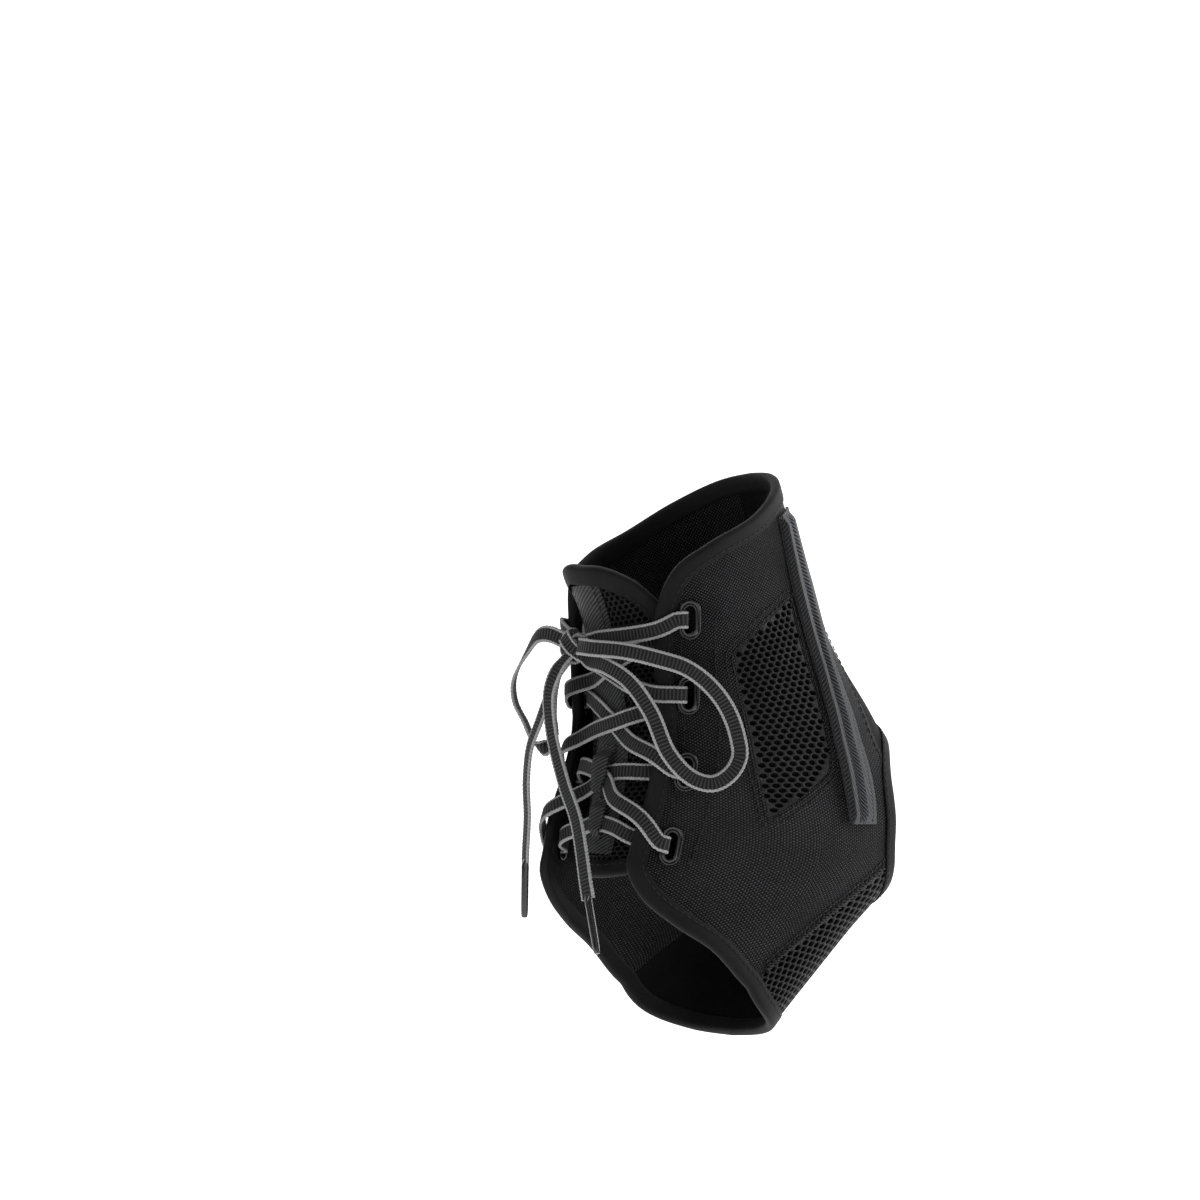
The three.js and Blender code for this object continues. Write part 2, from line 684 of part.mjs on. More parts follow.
// Stay pockets: tape with a long rib over each stay
const pocketFirst = stayPocket[0].station;
const pocketLast = stayPocket[stayPocket.length - 1].station;
function pocketEdges(station) {
  const i = Math.max(1, stayPocket.findIndex((row) => row.station >= station - 1e-9));
  const [a, b] = [stayPocket[i - 1], stayPocket[i]];
  const share = (station - a.station) / (b.station - a.station);
  return [mix(a.front, b.front, share), mix(a.rear, b.rear, share)];
}
const pocketLow = clothThickness + gap;
function pocketHigh(station, across) {
  const rib = Math.max(...stays.map((stay) => 1 - Math.abs(across - stay.across) / (stay.width / 2)));
  const ends = ease(pocketFirst, pocketFirst + 0.15, station)
    * (1 - ease(pocketLast - 0.15, pocketLast, station));
  return pocketLow + pocketThickness + stayRise * ends * ease(0, 0.6, rib);
}
const pocketUpper = [0, 0.05, 0.11, 0.24, 0.3, 0.41, 0.48, 0.68, 0.75, 1];
const pocketLower = [1, 0.75, 0.5, 0.25, 0];
const pocketRows = 14;
function stayPocketBody(side, name) {
  const rings = [];
  for (let i = 0; i <= pocketRows; i++) {
    const station = mix(pocketFirst, pocketLast, i / pocketRows);
    const [front, rear] = pocketEdges(station);
    const at = (share, lift) => place(station, side * mix(front, rear, share), lift);
    rings.push([
      ...pocketUpper.map((share) => at(share, pocketHigh(station, share))),
      ...pocketLower.map((share) => at(share, pocketLow)),
    ]);
  }
  add(name, sweep(rings, false), colours.tape, 0.5);
}
stayPocketBody(1, "stay_pocket_left");
stayPocketBody(-1, "stay_pocket_right");

// The gusset behind the heel cord and the mesh under the foot join the two sides
function joiningPiece(name, seam, steps, thickness, colour) {
  const line = smooth(seam, steps, false).map(([s, t]) => [s, t + seamShift]);
  add(
    name,
    sheet({
      within: [[...line, ...throughBack(line)], inward(wholeEdge, clothInset)],
      without: [inward(heelEdge, -clothInset)],
      low: 0,
      high: thickness,
      cell: 7.2,
    }),
    colour,
    0.9,
  );
}
joiningPiece("heel_gusset", gussetSeam, 20, clothThickness, colours.woven);
joiningPiece("sole_mesh", soleSeam, 14, soleThickness, colours.mesh);

// Tape round the whole edge, and round the heel opening
function edgeTape(name, loop, width, inside) {
  const outline = turnsLeft(loop) === inside ? loop : [...loop].reverse();
  const tape = binding(outline, { low: 0, high: clothThickness, width, fold: bindingFold });
  add(name, tape, colours.binding, 0.7);
}
edgeTape("edge_binding", wholeEdge, bindingWidth, true);
edgeTape("heel_binding", heelEdge, heelBindingWidth, false);

// Tongue: flat under the laces, and rising to the panels along its sides
function tongueLift(station, turn) {
  const side = ease(tongueRise.from, tongueRise.to, Math.abs(turn));
  const below = clamp01((tongueTop.to - station) / (tongueTop.to - tongueTop.from));
  const top = below ** 2 * (1 - ease(26, 46, Math.abs(turn)));
  return tongueTop.rise * top - mix(tongueDrop, tongueUnderPanel, side);
}
const tongueInner = (station, turn) => tongueLift(station, turn) - tongueThickness;
const tongueEdge = smooth(
  bothSides(tongueOutline, 0).map(([s, t]) => [
    s - tongueTopLean * clamp01(-t / 22) * (1 - ease(2, 4, s)), t,
  ]),
  60,
  true,
);
add(
  "tongue",
  sheet({
    within: [inward(tongueEdge, tongueFold + gap, onForm)],
    low: tongueInner,
    high: tongueLift,
    cell: 7.4,
    surface: onForm,
  }),
  colours.mesh,
  0.9,
);

// Tape over the top of the tongue, and over its lower end
const tongueSpan = (from, to) => {
  const near = tongueEdge.filter(([station, turn]) => (
    station >= from && station < to && Math.abs(turn) < tongueTapeTurn
  ));
  return near.sort((p, q) => p[1] - q[1]);
};
for (const [name, line, width] of [
  ["tongue_binding_top", tongueSpan(0, 3).reverse(), tongueBindingWidth],
  ["tongue_binding_bottom", tongueSpan(5, 8), tongueHemWidth],
]) {
  const tape = {
    low: tongueInner, high: tongueLift, width, fold: tongueFold, closed: false, surface: onForm,
  };
  add(name, binding(line, tape), colours.binding, 0.7);
}

// The woven strip down the middle of the tongue
const stripGap = 0.4; // clears the curve of the tongue
const stripLow = (station) => tongueLift(station, 0) + stripGap;
const stripHigh = stripGap + stripThickness - tongueDrop;
function strap(line, halfWidthAt, lowAt, thickness, across) {
  const rings = line.map((here, i) => {
    const before = line[Math.max(0, i - 1)];
    const after = line[Math.min(line.length - 1, i + 1)];
    const { out } = tangentsOf(onForm, ...here);
    const side = onForm(...after).sub(onForm(...before)).cross(out).normalize();
    const at = (share, lift) => place(...walk(here, side, share * halfWidthAt(i), onForm), lift, onForm);
    const low = lowAt(here[0]);
    return [
      ...across.map((share) => at(share, low + thickness)),
      ...across.map((share) => at(-share, low)),
    ];
  });
  return sweep(rings, false);
}
const stripMiddle = smooth(tongueStrip.map(({ station, middle }) => [station, middle]), 16, false);
add(
  "tongue_strip",
  strap(stripMiddle, () => stripHalfWidth, stripLow, stripThickness, [-1, -0.33, 0.33, 1]),
  colours.strip,
  0.6,
);

// Keepers on the strip, with the laces under them
const keeperRest = stripHigh + gap;
keepers.forEach(({ name, from, to, rise, riseFrom, riseTo }) => {
  const count = 14;
  const line = Array.from({ length: count + 1 }, (_, i) => [mix(from, to, i / count), keeperTurn]);
  const lowAt = (station) =>
    keeperRest + rise * ease(from + 0.04, riseFrom, station) * (1 - ease(riseTo, to - 0.01, station));
  const halfWidthAt = (i) => (keeperWidth / 2) * mix(1, keeperWaist, ease(0.45, 0.9, i / count));
  add(name, strap(line, halfWidthAt, lowAt, keeperThickness, [-1, 0, 1]), colours.tape, 0.6);
});

// The lace turns over the eyelet's rim on its way through the hole
const bendOffset = eyeletHoleWidth / 2 + 0.2;
const bendRadius = laceThickness / 2 + gap + 0.3;
const laceSplit = 1.4; // lift in the hole where one run of the lace ends and the next begins
function eyeletBend(index, side, above) {
  const frame = eyeletFrame(index, side);
  const face = above ? 1 : -1;
  const centre = above ? eyeletTop - 0.15 : laceUnder + bendRadius;
  const start = laceSplit + (face * gap) / 2;
  const profile = [[bendOffset - bendRadius, start], [bendOffset - bendRadius, mix(start, centre, 0.6)]];
  for (const angle of [0, 30, 60, 90]) {
    const a = radians(angle);
    profile.push([bendOffset - bendRadius * Math.cos(a), centre + face * bendRadius * Math.sin(a)]);
  }
  const points = profile.map(([away, lift]) => new THREE.Vector3(side * away, 0, lift).applyMatrix4(frame));
  const row = new THREE.Vector3().setFromMatrixColumn(frame, 1);
  const { out } = tangentsOf(flared, ...eyeletPlace(index, side));
  const centreward = new THREE.Vector3().setFromMatrixColumn(frame, 0).multiplyScalar(side);
  const leave = walk(eyeletPlace(index, side), centreward, bendOffset + 2.6);
  const lift = centre + face * bendRadius;
  return { points, row, leave: [...leave, lift] };
}

// The knot. Each lace that meets it stops a gap away from it.
const knotFrame = new THREE.Matrix4();
{
  const { out, round } = tangentsOf(flared, knotPlace[0], knotPlace[1]);
  const x = round.addScaledVector(out, -round.dot(out)).normalize();
  knotFrame.makeBasis(x, out.clone().cross(x), out).setPosition(place(...knotPlace));
  const knot = new THREE.SphereGeometry(0.5, 14, 10);
  add("lace_knot", knot.scale(knotWidth, knotHeight, knotDepth), colours.lace, 0.8).applyMatrix4(knotFrame);
}
function knotSeat(from) {
  const way = from.clone().applyMatrix4(knotFrame.clone().invert()).normalize();
  const span = new THREE.Vector3(way.x / knotWidth, way.y / knotHeight, way.z / knotDepth);
  return way.multiplyScalar(0.5 / span.length() + knotGap).applyMatrix4(knotFrame);
}

// One run of the lace through chosen places [station, turn, lift], from and to an eyelet or a point
const laceStep = 5.5;
function laceRun(name, from, way, to) {
  const start = from ? eyeletBend(...from) : null;
  const end = to ? eyeletBend(...to) : null;
  const chosen = [...(start ? [start.leave] : []), ...way, ...(end ? [end.leave] : [])];
  const flat = chosen.map(([station, turn, lift]) => (
    new THREE.Vector3(station * flatStation, turn * flatTurn, lift)
  ));
  const curve = new THREE.CatmullRomCurve3(flat, false, "centripetal");
  const count = Math.round(curve.getLength() / laceStep);
  const samples = curve.getSpacedPoints(count).map((p) => [p.x / flatStation, p.y / flatTurn, p.z]);
  const points = samples.map(([station, turn, lift]) => place(station, turn, lift));
  const sides = points.map((point, i) => {
    const along = points[Math.min(points.length - 1, i + 1)].clone().sub(points[Math.max(0, i - 1)]);
    const side = tangentsOf(flared, samples[i][0], samples[i][1]).out.cross(along).normalize();
    for (const [bend, near] of [[start, i], [end, points.length - 1 - i]]) {
      if (!bend) continue;
      const row = bend.row.clone().multiplyScalar(Math.sign(bend.row.dot(side)));
      side.lerp(row, 1 - ease(0, 8, near * laceStep));
    }
    return side;
  });
  if (!end) {
    points.push(knotSeat(points[points.length - 1]));
    sides.push(sides[sides.length - 1]);
  }
  if (start) {
    const sign = Math.sign(start.row.dot(sides[0]));
    points.unshift(...start.points);
    sides.unshift(...start.points.map(() => start.row.clone().multiplyScalar(sign)));
  }
  if (end) {
    const sign = Math.sign(end.row.dot(sides[sides.length - 1]));
    points.push(...end.points.reverse());
    sides.push(...end.points.map(() => end.row.clone().multiplyScalar(sign)));
  }
  add(name, ribbon(points, sides), colours.lace, 0.8);
}
for (const { name, from, way, to } of laceRuns) laceRun(name, from, way, to);

// The two bows and the two ends of the lace keep their chosen points between their seats on the knot
function freeLace(name, chosen, faces, ends) {
  const middle = chosen.map((p) => new THREE.Vector3(...p));
  const last = ends === 2 ? [knotSeat(middle[middle.length - 1])] : [];
  const curve = new THREE.CatmullRomCurve3([knotSeat(middle[0]), ...middle, ...last], false, "centripetal");
  const points = curve.getSpacedPoints(Math.round(curve.getLength() / laceStep));
  const sides = points.map((point, i) => {
    const along = points[Math.min(points.length - 1, i + 1)].clone().sub(points[Math.max(0, i - 1)]);
    const face = faces.length > 1 ? faceAt(faces, i / (points.length - 1)) : new THREE.Vector3(...faces[0]);
    return face.cross(along).normalize();
  });
  add(name, ribbon(points, sides), colours.lace, 0.8);
  return points;
}
function faceAt(faces, share) {
  const i = Math.min(faces.length - 2, Math.floor(share * (faces.length - 1)));
  const t = share * (faces.length - 1) - i;
  return new THREE.Vector3(...faces[i]).lerp(new THREE.Vector3(...faces[i + 1]), t);
}
for (const { name, points, faces, ends } of freeLaces) {
  const made = freeLace(name, points, faces, ends);
  if (ends === 2) continue;
  const tip = made[made.length - 1];
  const along = tip.clone().sub(made[made.length - 2]).normalize();
  const aglet = new THREE.CylinderGeometry(agletDiameter / 2, agletDiameter / 2, agletLength, 10);
  const mesh = add(name.replace("lace_end", "aglet"), aglet, colours.aglet, 0.4);
  mesh.quaternion.setFromUnitVectors(new THREE.Vector3(0, 1, 0), along);
  mesh.position.copy(tip).addScaledVector(along, gap + agletLength / 2);
}

export default brace;
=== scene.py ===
import math

import bpy
import numpy as np
from mathutils import Matrix, Vector
from mathutils.geometry import delaunay_2d_cdt
from mathutils.kdtree import KDTree


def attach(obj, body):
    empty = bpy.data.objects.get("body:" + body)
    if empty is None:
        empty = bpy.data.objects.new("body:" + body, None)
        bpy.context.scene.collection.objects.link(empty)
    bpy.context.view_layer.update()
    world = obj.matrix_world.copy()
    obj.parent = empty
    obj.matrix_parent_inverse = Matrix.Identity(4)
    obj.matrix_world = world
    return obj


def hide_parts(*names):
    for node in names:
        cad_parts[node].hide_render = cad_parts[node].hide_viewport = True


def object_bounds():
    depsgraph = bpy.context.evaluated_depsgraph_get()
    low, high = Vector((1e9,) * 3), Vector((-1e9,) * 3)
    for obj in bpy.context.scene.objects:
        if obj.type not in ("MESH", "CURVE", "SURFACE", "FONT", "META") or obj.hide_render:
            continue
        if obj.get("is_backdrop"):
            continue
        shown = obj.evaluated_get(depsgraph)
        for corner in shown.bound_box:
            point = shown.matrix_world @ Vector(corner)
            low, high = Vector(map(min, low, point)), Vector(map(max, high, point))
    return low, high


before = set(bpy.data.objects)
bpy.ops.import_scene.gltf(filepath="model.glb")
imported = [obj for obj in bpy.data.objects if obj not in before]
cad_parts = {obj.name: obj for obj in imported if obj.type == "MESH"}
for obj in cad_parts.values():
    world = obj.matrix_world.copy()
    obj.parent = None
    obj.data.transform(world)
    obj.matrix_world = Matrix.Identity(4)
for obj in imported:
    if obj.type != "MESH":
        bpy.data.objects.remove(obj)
cad_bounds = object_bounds()

# Lace-up ankle brace. The script works in millimetres and turns them into metres where a mesh is
# made. A place on the ankle form is (station, turn), as in the frame's source, and lift is the
# distance out from the form.
MM = 0.001


def linked(name, data):
    """An object with this data, in the scene."""
    thing = bpy.data.objects.new(name, data)
    bpy.context.scene.collection.objects.link(thing)
    return thing


# Camera
AZIMUTH = math.radians(53)
ELEVATION = math.radians(-3.4)
DISTANCE = 1600.0
FRAME_WIDTH = 432.0  # at the brace
AIM_RIGHT = -51.12
AIM_UP = 38.52
SENSOR = 36
right = np.array([math.cos(AZIMUTH), math.sin(AZIMUTH), 0.0])
back = np.array([
    math.sin(AZIMUTH) * math.cos(ELEVATION),
    -math.cos(AZIMUTH) * math.cos(ELEVATION),
    math.sin(ELEVATION),
])
up = np.cross(back, right)
target = right * AIM_RIGHT + up * AIM_UP
camera_data = bpy.data.cameras.new("camera")
camera_data.sensor_width = SENSOR
camera_data.lens = SENSOR * DISTANCE / FRAME_WIDTH
camera_data.clip_end = 20
camera = linked("camera", camera_data)
basis = Matrix((right, up, back)).transposed().to_4x4()
camera.matrix_world = Matrix.Translation(Vector((target + back * DISTANCE) * MM)) @ basis
bpy.context.scene.camera = camera

# Sizes in millimetres
# They are those of the frame's source, except that the tongue's strip is drawn a little off its
# solid, by up to 3 mm.
ANKLE_DEPTH = 90.0
ANKLE_WIDTH = 76.0
BRACE_HEIGHT = 180.0
LEG_LEAN = math.radians(26)
CLOTH = 2.0
GAP = 0.3
BINDING_WIDTH = 6.5
BINDING_FOLD = 1.1
HEEL_BINDING_WIDTH = 6.0
POCKET = 1.1
STAY_RISE = 1.7
FLARE_LEFT = 4.0
FLARE_RIGHT = 8.0
RIGHT_FRONT_SHIFT = 6.0
TONGUE_DROP = 4.4
TONGUE_UNDER_PANEL = 0.8
TONGUE_FOLD = 0.7
TONGUE_THICKNESS = 2.8
STRIP_THICKNESS = 0.6
STRIP_HALF = 9.5
TONGUE_BINDING_WIDTH = 7.0
TONGUE_HEM_WIDTH = 5.5
KEEPER_WIDTH = 7.5
KEEPER_THICKNESS = 0.9
HOLE_WIDTH = 3.6
HOLE_LENGTH = 9.6
EYELET_WALL = 0.6
EYELET_FLANGE = 1.5
EYELET_FLANGE_THICKNESS = 1.0
EYELET_BELOW = 0.6
LACE_THICKNESS = 1.2
LACE_UNDER = -2.9
LACE_RIB = 1.3
LACE_STEP = 0.42
AGLET_DIAMETER = 2.6
AGLET_LENGTH = 19.0
KNOT = (13.0, 11.0, 8.0)
KNOT_GAP = 0.25

# frontForward, frontUp, backForward, backUp, half width, widest, frontSquare, backSquare
SECTIONS = np.array([
    [0.478, 0.522, -0.478, 0.533, 0.5, 0.5, 2.1, 2.1],
    [0.511, 0.4, -0.456, 0.367, 0.487, 0.5, 2.1, 2.1],
    [0.567, 0.289, -0.433, 0.2, 0.487, 0.5, 2.1, 2.1],
    [0.644, 0.189, -0.422, 0.033, 0.513, 0.5, 2.1, 2.2],
    [0.744, 0.089, -0.489, -0.144, 0.526, 0.5, 2.1, 2.3],
    [0.867, 0, -0.533, -0.322, 0.5, 0.52, 2.1, 2.4],
    [0.989, -0.078, -0.378, -0.433, 0.474, 0.58, 2.1, 2.5],
    [1.122, -0.156, 0.044, -0.492, 0.474, 0.62, 2.1, 2.6],
    [1.278, -0.233, 0.456, -0.55, 0.487, 0.64, 2.1, 2.6],
    [1.444, -0.311, 0.844, -0.606, 0.5, 0.64, 2.1, 2.6],
])
RIM_AND_FRONT = [
    [0.72, 180], [0.74, 155], [0.84, 128], [0.97, 102], [1.05, 74], [1.25, 54], [1.75, 42.5],
    [2.6, 37], [3.8, 35], [5.0, 31.5], [5.8, 28.8], [6.38, 29], [6.88, 37.5], [7.28, 53],
    [7.56, 69], [7.96, 88], [8.24, 113], [8.36, 145], [8.4, 180],
]
HEEL_OPENING = [
    [4.2, 180], [4.27, 155], [4.45, 138], [4.75, 129.5], [5.3, 127], [5.8, 128], [6.15, 136],
    [6.38, 152], [6.48, 180],
]
GUSSET_SEAM = [
    [0.3, 170], [0.9, 168], [2.2, 160], [2.9, 150], [3.7, 136], [4.3, 130.5], [4.9, 132],
]
SOLE_SEAM = [
    [5.9, 130], [6.21, 123.5], [6.61, 115.5], [7.06, 107.2], [7.48, 98], [7.8, 92.5], [8.9, 74],
]
MESH_WINDOW = [
    [2.18, 112.5], [2.4, 93], [2.76, 73], [3.5, 71.4], [4.3, 71], [5.38, 73.6], [4.98, 86.5],
    [4.62, 99], [4.42, 101.6], [3.9, 104.4], [3.39, 107.4], [2.76, 110.3],
]
STAY_POCKET = np.array([
    [1.14, 122.5, 147], [2.1, 116.5, 142], [3.1, 113, 129.5], [3.6, 109, 124],
    [4.2, 105.5, 119.5], [4.86, 103, 116.5], [5.45, 102.5, 115],
])
STAYS = [(0.17, 0.26), (0.58, 0.34)]
TONGUE_OUTLINE = [
    [0.86, 0], [0.93, 14], [1.22, 30], [1.7, 44], [2.1, 57], [2.6, 68], [3.4, 73], [4.4, 72],
    [5.4, 66], [6.1, 52], [6.4, 28], [6.46, 0],
]
TONGUE_TOP_RISE = 6.5
TONGUE_TOP_FROM = 0.8
TONGUE_TOP_TO = 2.35
TONGUE_STRIP = [[1.2, -9.5], [2.1, -8], [2.8, -3], [3.5, 2], [4.6, 4], [6.0, 2]]
TONGUE_TOP_LEAN = 0.14
EYELETS = [[2.08, 56.5], [3.28, 50], [4.53, 45.8], [5.9, 42]]
TONGUE_TAPE_TURN = 46
KEEPERS = [
    ("keeper_upper", "lace_keeper_upper", 4.0, 4.9, 3.9, 4.25, 4.83),
    ("keeper_lower", "lace_keeper_lower", 4.94, 5.72, 1.9, 5.14, 5.56),
]
KEEPER_TURN = 5
KEEPER_WAIST = 0.62
LACE_RUNS = [
    ("lace_run_bar", (3, -1, False), (3, 1, False), [
        [5.8, -26, -2.8], [5.52, -11, -2.45], [5.42, 5, -2.3], [5.5, 16, -2.45],
        [5.72, 28, -2.9],
    ]),
    ("lace_run_1", (3, 1, True), (2, -1, False), [
        [5.36, 30, 4.6], [4.97, 18, 1.4], [4.6, 8, -0.7], [4.45, -1, -0.8], [4.37, -11, -1.0],
        [4.33, -21, -2.7], [4.4, -31, -2.9],
    ]),
    ("lace_run_2", (3, -1, True), (2, 1, False), [
        [5.35, -24, 4.6], [4.98, -15, 1.6], [4.7, -6, -2.2], [4.56, 0, -2.35],
        [4.48, 8, -2.35], [4.46, 20, -2.8], [4.5, 34, -2.9],
    ]),
    ("lace_run_3", (2, 1, True), (1, -1, False), [
        [4.22, 33, 4.6], [4.04, 25, 0.9], [3.84, 16, -2.4], [3.54, 5, -2.45], [3.3, -7, -2.35],
        [3.2, -18, -2.8], [3.18, -30, -2.9],
    ]),
    ("lace_run_4", (2, -1, True), (1, 1, False), [
        [4.12, -27, 4.6], [3.88, -16, 1.2], [3.74, -6, -0.6], [3.68, 2, -0.8], [3.62, 11, -0.8],
        [3.54, 20, -1.3], [3.48, 28, -2.7], [3.38, 38, -2.9],
    ]),
    ("lace_run_5", (1, 1, True), (0, -1, False), [
        [3.2, 36, 4.6], [3.04, 25, 1.4], [2.84, 14, -0.7], [2.68, 5, -0.8], [2.54, -5, -0.9],
        [2.4, -14, -1.9], [2.29, -21, -2.35], [2.2, -29, -2.9],
    ]),
    ("lace_run_6", (1, -1, True), (0, 1, False), [
        [3.05, -30, 4.6], [2.94, -20, 1.0], [2.86, -11, -2.4], [2.72, 0, -2.35], [2.6, 9, -2.35],
        [2.45, 22, -2.8], [2.28, 42, -2.9],
    ]),
    ("lace_run_left", (0, 1, True), None, [
        [2.12, 42, 4.7], [2.13, 28, 3.2], [2.12, 16, 2.2], [2.12, 7, 2.0],
    ]),
    ("lace_run_right", (0, -1, True), None, [[1.92, -36, 4.7], [2.02, -29, 2.8], [2.1, -23, 1.9]]),
]
KNOT_PLACE = (2.22, -7.7, 4.6)
# The free lace: how many of its ends are at the knot, its length and chosen points in metres, and the
# way that its flat faces from end to end
FREE_LACES = [
    ("lace_loop_left", 2, 0.1753, [
        [0.0046, -0.0760, 0.0194], [0.0114, -0.0765, 0.0186], [0.0230, -0.0706, 0.0172],
        [0.0315, -0.0624, 0.0144], [0.0373, -0.0546, 0.0112], [0.0412, -0.0474, 0.0052],
        [0.0432, -0.0414, -0.0027], [0.0440, -0.0376, -0.0119], [0.0438, -0.0364, -0.0193],
        [0.0422, -0.0393, -0.0253], [0.0388, -0.0442, -0.0286], [0.0356, -0.0512, -0.0266],
        [0.0328, -0.0590, -0.0183], [0.0298, -0.0645, -0.0041], [0.0238, -0.0695, 0.0067],
        [0.0146, -0.0728, 0.0124], [0.0040, -0.0716, 0.0146],
    ], [[0.1, -1, 0.1], [0.5, -0.85, 0.1], [0.85, -0.5, 0], [0.7, -0.7, 0], [0.1, -1, 0.1]]),
    ("lace_loop_right", 2, 0.0999, [
        [-0.0146, -0.0746, 0.0244], [-0.0205, -0.0755, 0.0244], [-0.0277, -0.0752, 0.0192],
        [-0.0344, -0.0764, 0.0090], [-0.0353, -0.0753, 0.0015], [-0.0327, -0.0727, -0.0061],
        [-0.0301, -0.0702, -0.0137], [-0.0262, -0.0682, -0.0153], [-0.0226, -0.0667, -0.0128],
        [-0.0206, -0.0684, -0.0033], [-0.0190, -0.0694, 0.0054], [-0.0148, -0.0702, 0.0134],
    ], [[-0.3, -1, 0.2], [-0.7, -0.7, 0], [-0.8, -0.6, 0], [-0.6, -0.8, 0], [-0.2, -1, 0.1]]),
    ("lace_end_left", 1, 0.0939, [
        [-0.0062, -0.0780, 0.0120], [-0.0090, -0.0796, 0.0040], [-0.0088, -0.0790, -0.0090],
        [-0.0010, -0.0790, -0.0285], [0.0073, -0.0799, -0.0414], [0.0164, -0.0824, -0.0640],
        [0.0175, -0.0823, -0.0685],
    ], [[0, -1, -0.3], [0.1, -1, 0], [0.2, -1, 0]]),
    ("lace_end_right", 1, 0.0755, [
        [-0.0122, -0.0736, 0.0106], [-0.0150, -0.0754, 0.0030], [-0.0185, -0.0772, -0.0066],
        [-0.0214, -0.0790, -0.0155], [-0.0226, -0.0796, -0.0277], [-0.0220, -0.0796, -0.0396],
        [-0.0222, -0.0802, -0.0526], [-0.0223, -0.0802, -0.0560],
    ], [[-0.2, -1, 0], [-0.3, -1, 0], [-0.3, -1, 0]]),
]

FLAT_STATION = 27.0
FLAT_TURN = 0.68
DOWNWARD = 0.65
CURVE_STEPS = 1601
ROW_SHARE = 0.87  # the distance between rows of a triangular grid, in cells
EDGE_MARGIN = 0.45  # how near the edge a grid's point may lie, in cells
HOLE_MARGIN = 0.35
BATCH = 4000
STITCH_PITCH = 2.7
STITCH_INSET = 1.3
ROUND_HOLE_SIDES = 6
WINDOW_HOLES = (2.7, 2.2, 0.0)
SOLE_HOLES = (2.9, 2.3, 0.45)
TONGUE_HOLES = (2.9, 2.35, 0.0)
PANEL_CELL = 2.3
LINING_CELL = 3.0
POCKET_WIDTH = 24.0
POCKET_GROOVES = (0.345, 0.79)
FRONT_ROWS = (9.0, 19.5)
SOLE_ROWS = (-2.4, -5.2)
GUSSET_ROWS = (-2.6,)


# The ankle form
def ease(a, b, x):
    t = np.clip((np.asarray(x, float) - a) / (b - a), 0, 1)
    return t * t * (3 - 2 * t)


def mix(a, b, share):
    return a + (b - a) * share


def unit(v):
    """A vector, or each row of an array of them, at length 1."""
    return v / (np.linalg.norm(v, axis=1, keepdims=True) if v.ndim > 1 else np.linalg.norm(v))


def travelled(points):
    """How far along a line each of its points lies."""
    return np.concatenate([[0], np.cumsum(np.linalg.norm(np.diff(points, axis=0), axis=1))])


def columns_at(want, far, values):
    """Rows of values, read between the rows at the distances wanted."""
    return np.stack([np.interp(want, far, values[:, k]) for k in range(values.shape[1])], 1)


def section_at(station):
    last = len(SECTIONS) - 1
    s = np.clip(station, 0, last)
    i = np.minimum(np.floor(s).astype(int), last - 1)
    t = (s - i)[:, None]
    p1 = SECTIONS[i]
    p2 = SECTIONS[i + 1]
    p0 = np.where((i > 0)[:, None], SECTIONS[np.maximum(i - 1, 0)], 2 * p1 - p2)
    p3 = np.where((i < last - 1)[:, None], SECTIONS[np.minimum(i + 2, last)], 2 * p2 - p1)
    a = (p2 - p0) * t
    b = (2 * p0 - 5 * p1 + 4 * p2 - p3) * t * t
    c = (3 * p1 - p0 - 3 * p2 + p3) * t ** 3
    return 0.5 * (2 * p1 + a + b + c)


def on_form(station, turn):
    row = section_at(station)
    c = np.cos(np.radians(turn))
    s = np.sin(np.radians(turn))
    square = np.where(c > 0, row[:, 6], row[:, 7])
    q = (np.abs(c) ** square + np.abs(s) ** square) ** (-1 / square)
    front = np.stack([row[:, 0] * ANKLE_DEPTH, row[:, 1] * BRACE_HEIGHT], 1)
    rear = np.stack([row[:, 2] * ANKLE_DEPTH, row[:, 3] * BRACE_HEIGHT], 1)
    depth = np.linalg.norm(front - rear, axis=1)
    along = row[:, 5] - np.where(c > 0, row[:, 5], 1 - row[:, 5]) * c * q
    share = mix(CLOTH / depth, 1 - CLOTH / depth, along)[:, None]
    p = front + (rear - front) * share
    left = (row[:, 4] * ANKLE_WIDTH - CLOTH) * s * q
    y = -p[:, 0] * math.cos(LEG_LEAN) - p[:, 1] * math.sin(LEG_LEAN)
    z = -p[:, 0] * math.sin(LEG_LEAN) + p[:, 1] * math.cos(LEG_LEAN)
    return np.stack([left, y, z], 1)


def flare_at(station, turn):
    round_front = np.where(turn > 180, turn - 360, turn)
    side = np.where(round_front > 0, FLARE_LEFT, FLARE_RIGHT)
    away = np.abs(round_front)
    down = ease(3.4, 5.7, station) * (1 - ease(6.3, 7.6, station))
    return side * down * (1 - ease(20, 76, away)) * ease(8, 26, away)


def tangents(surface, station, turn):
    down = (surface(station + 0.02, turn) - surface(station - 0.02, turn)) / 0.04
    across = surface(station, turn + 0.5) - surface(station, turn - 0.5)
    return down, across, unit(np.cross(down, across))


def flared(station, turn):
    point = on_form(station, turn)
    return point + tangents(on_form, station, turn)[2] * flare_at(station, turn)[:, None]


def outward(places, surface=flared):
    return tangents(surface, *places.T)[2]


def heading(line, surface=flared, closed=True):
    """The way along a line of places, from its neighbours on both sides."""
    after = np.roll(line, -1, 0)
    before = np.roll(line, 1, 0)
    if not closed:
        after[-1] = line[-1]
        before[0] = line[0]
    return surface(*after.T) - surface(*before.T)


def place(station, turn, lift, surface=flared):
    station, turn, lift = np.broadcast_arrays(
        np.atleast_1d(np.asarray(station, float)), np.asarray(turn, float), np.asarray(lift, float)
    )
    return surface(station, turn) + tangents(surface, station, turn)[2] * lift[:, None]


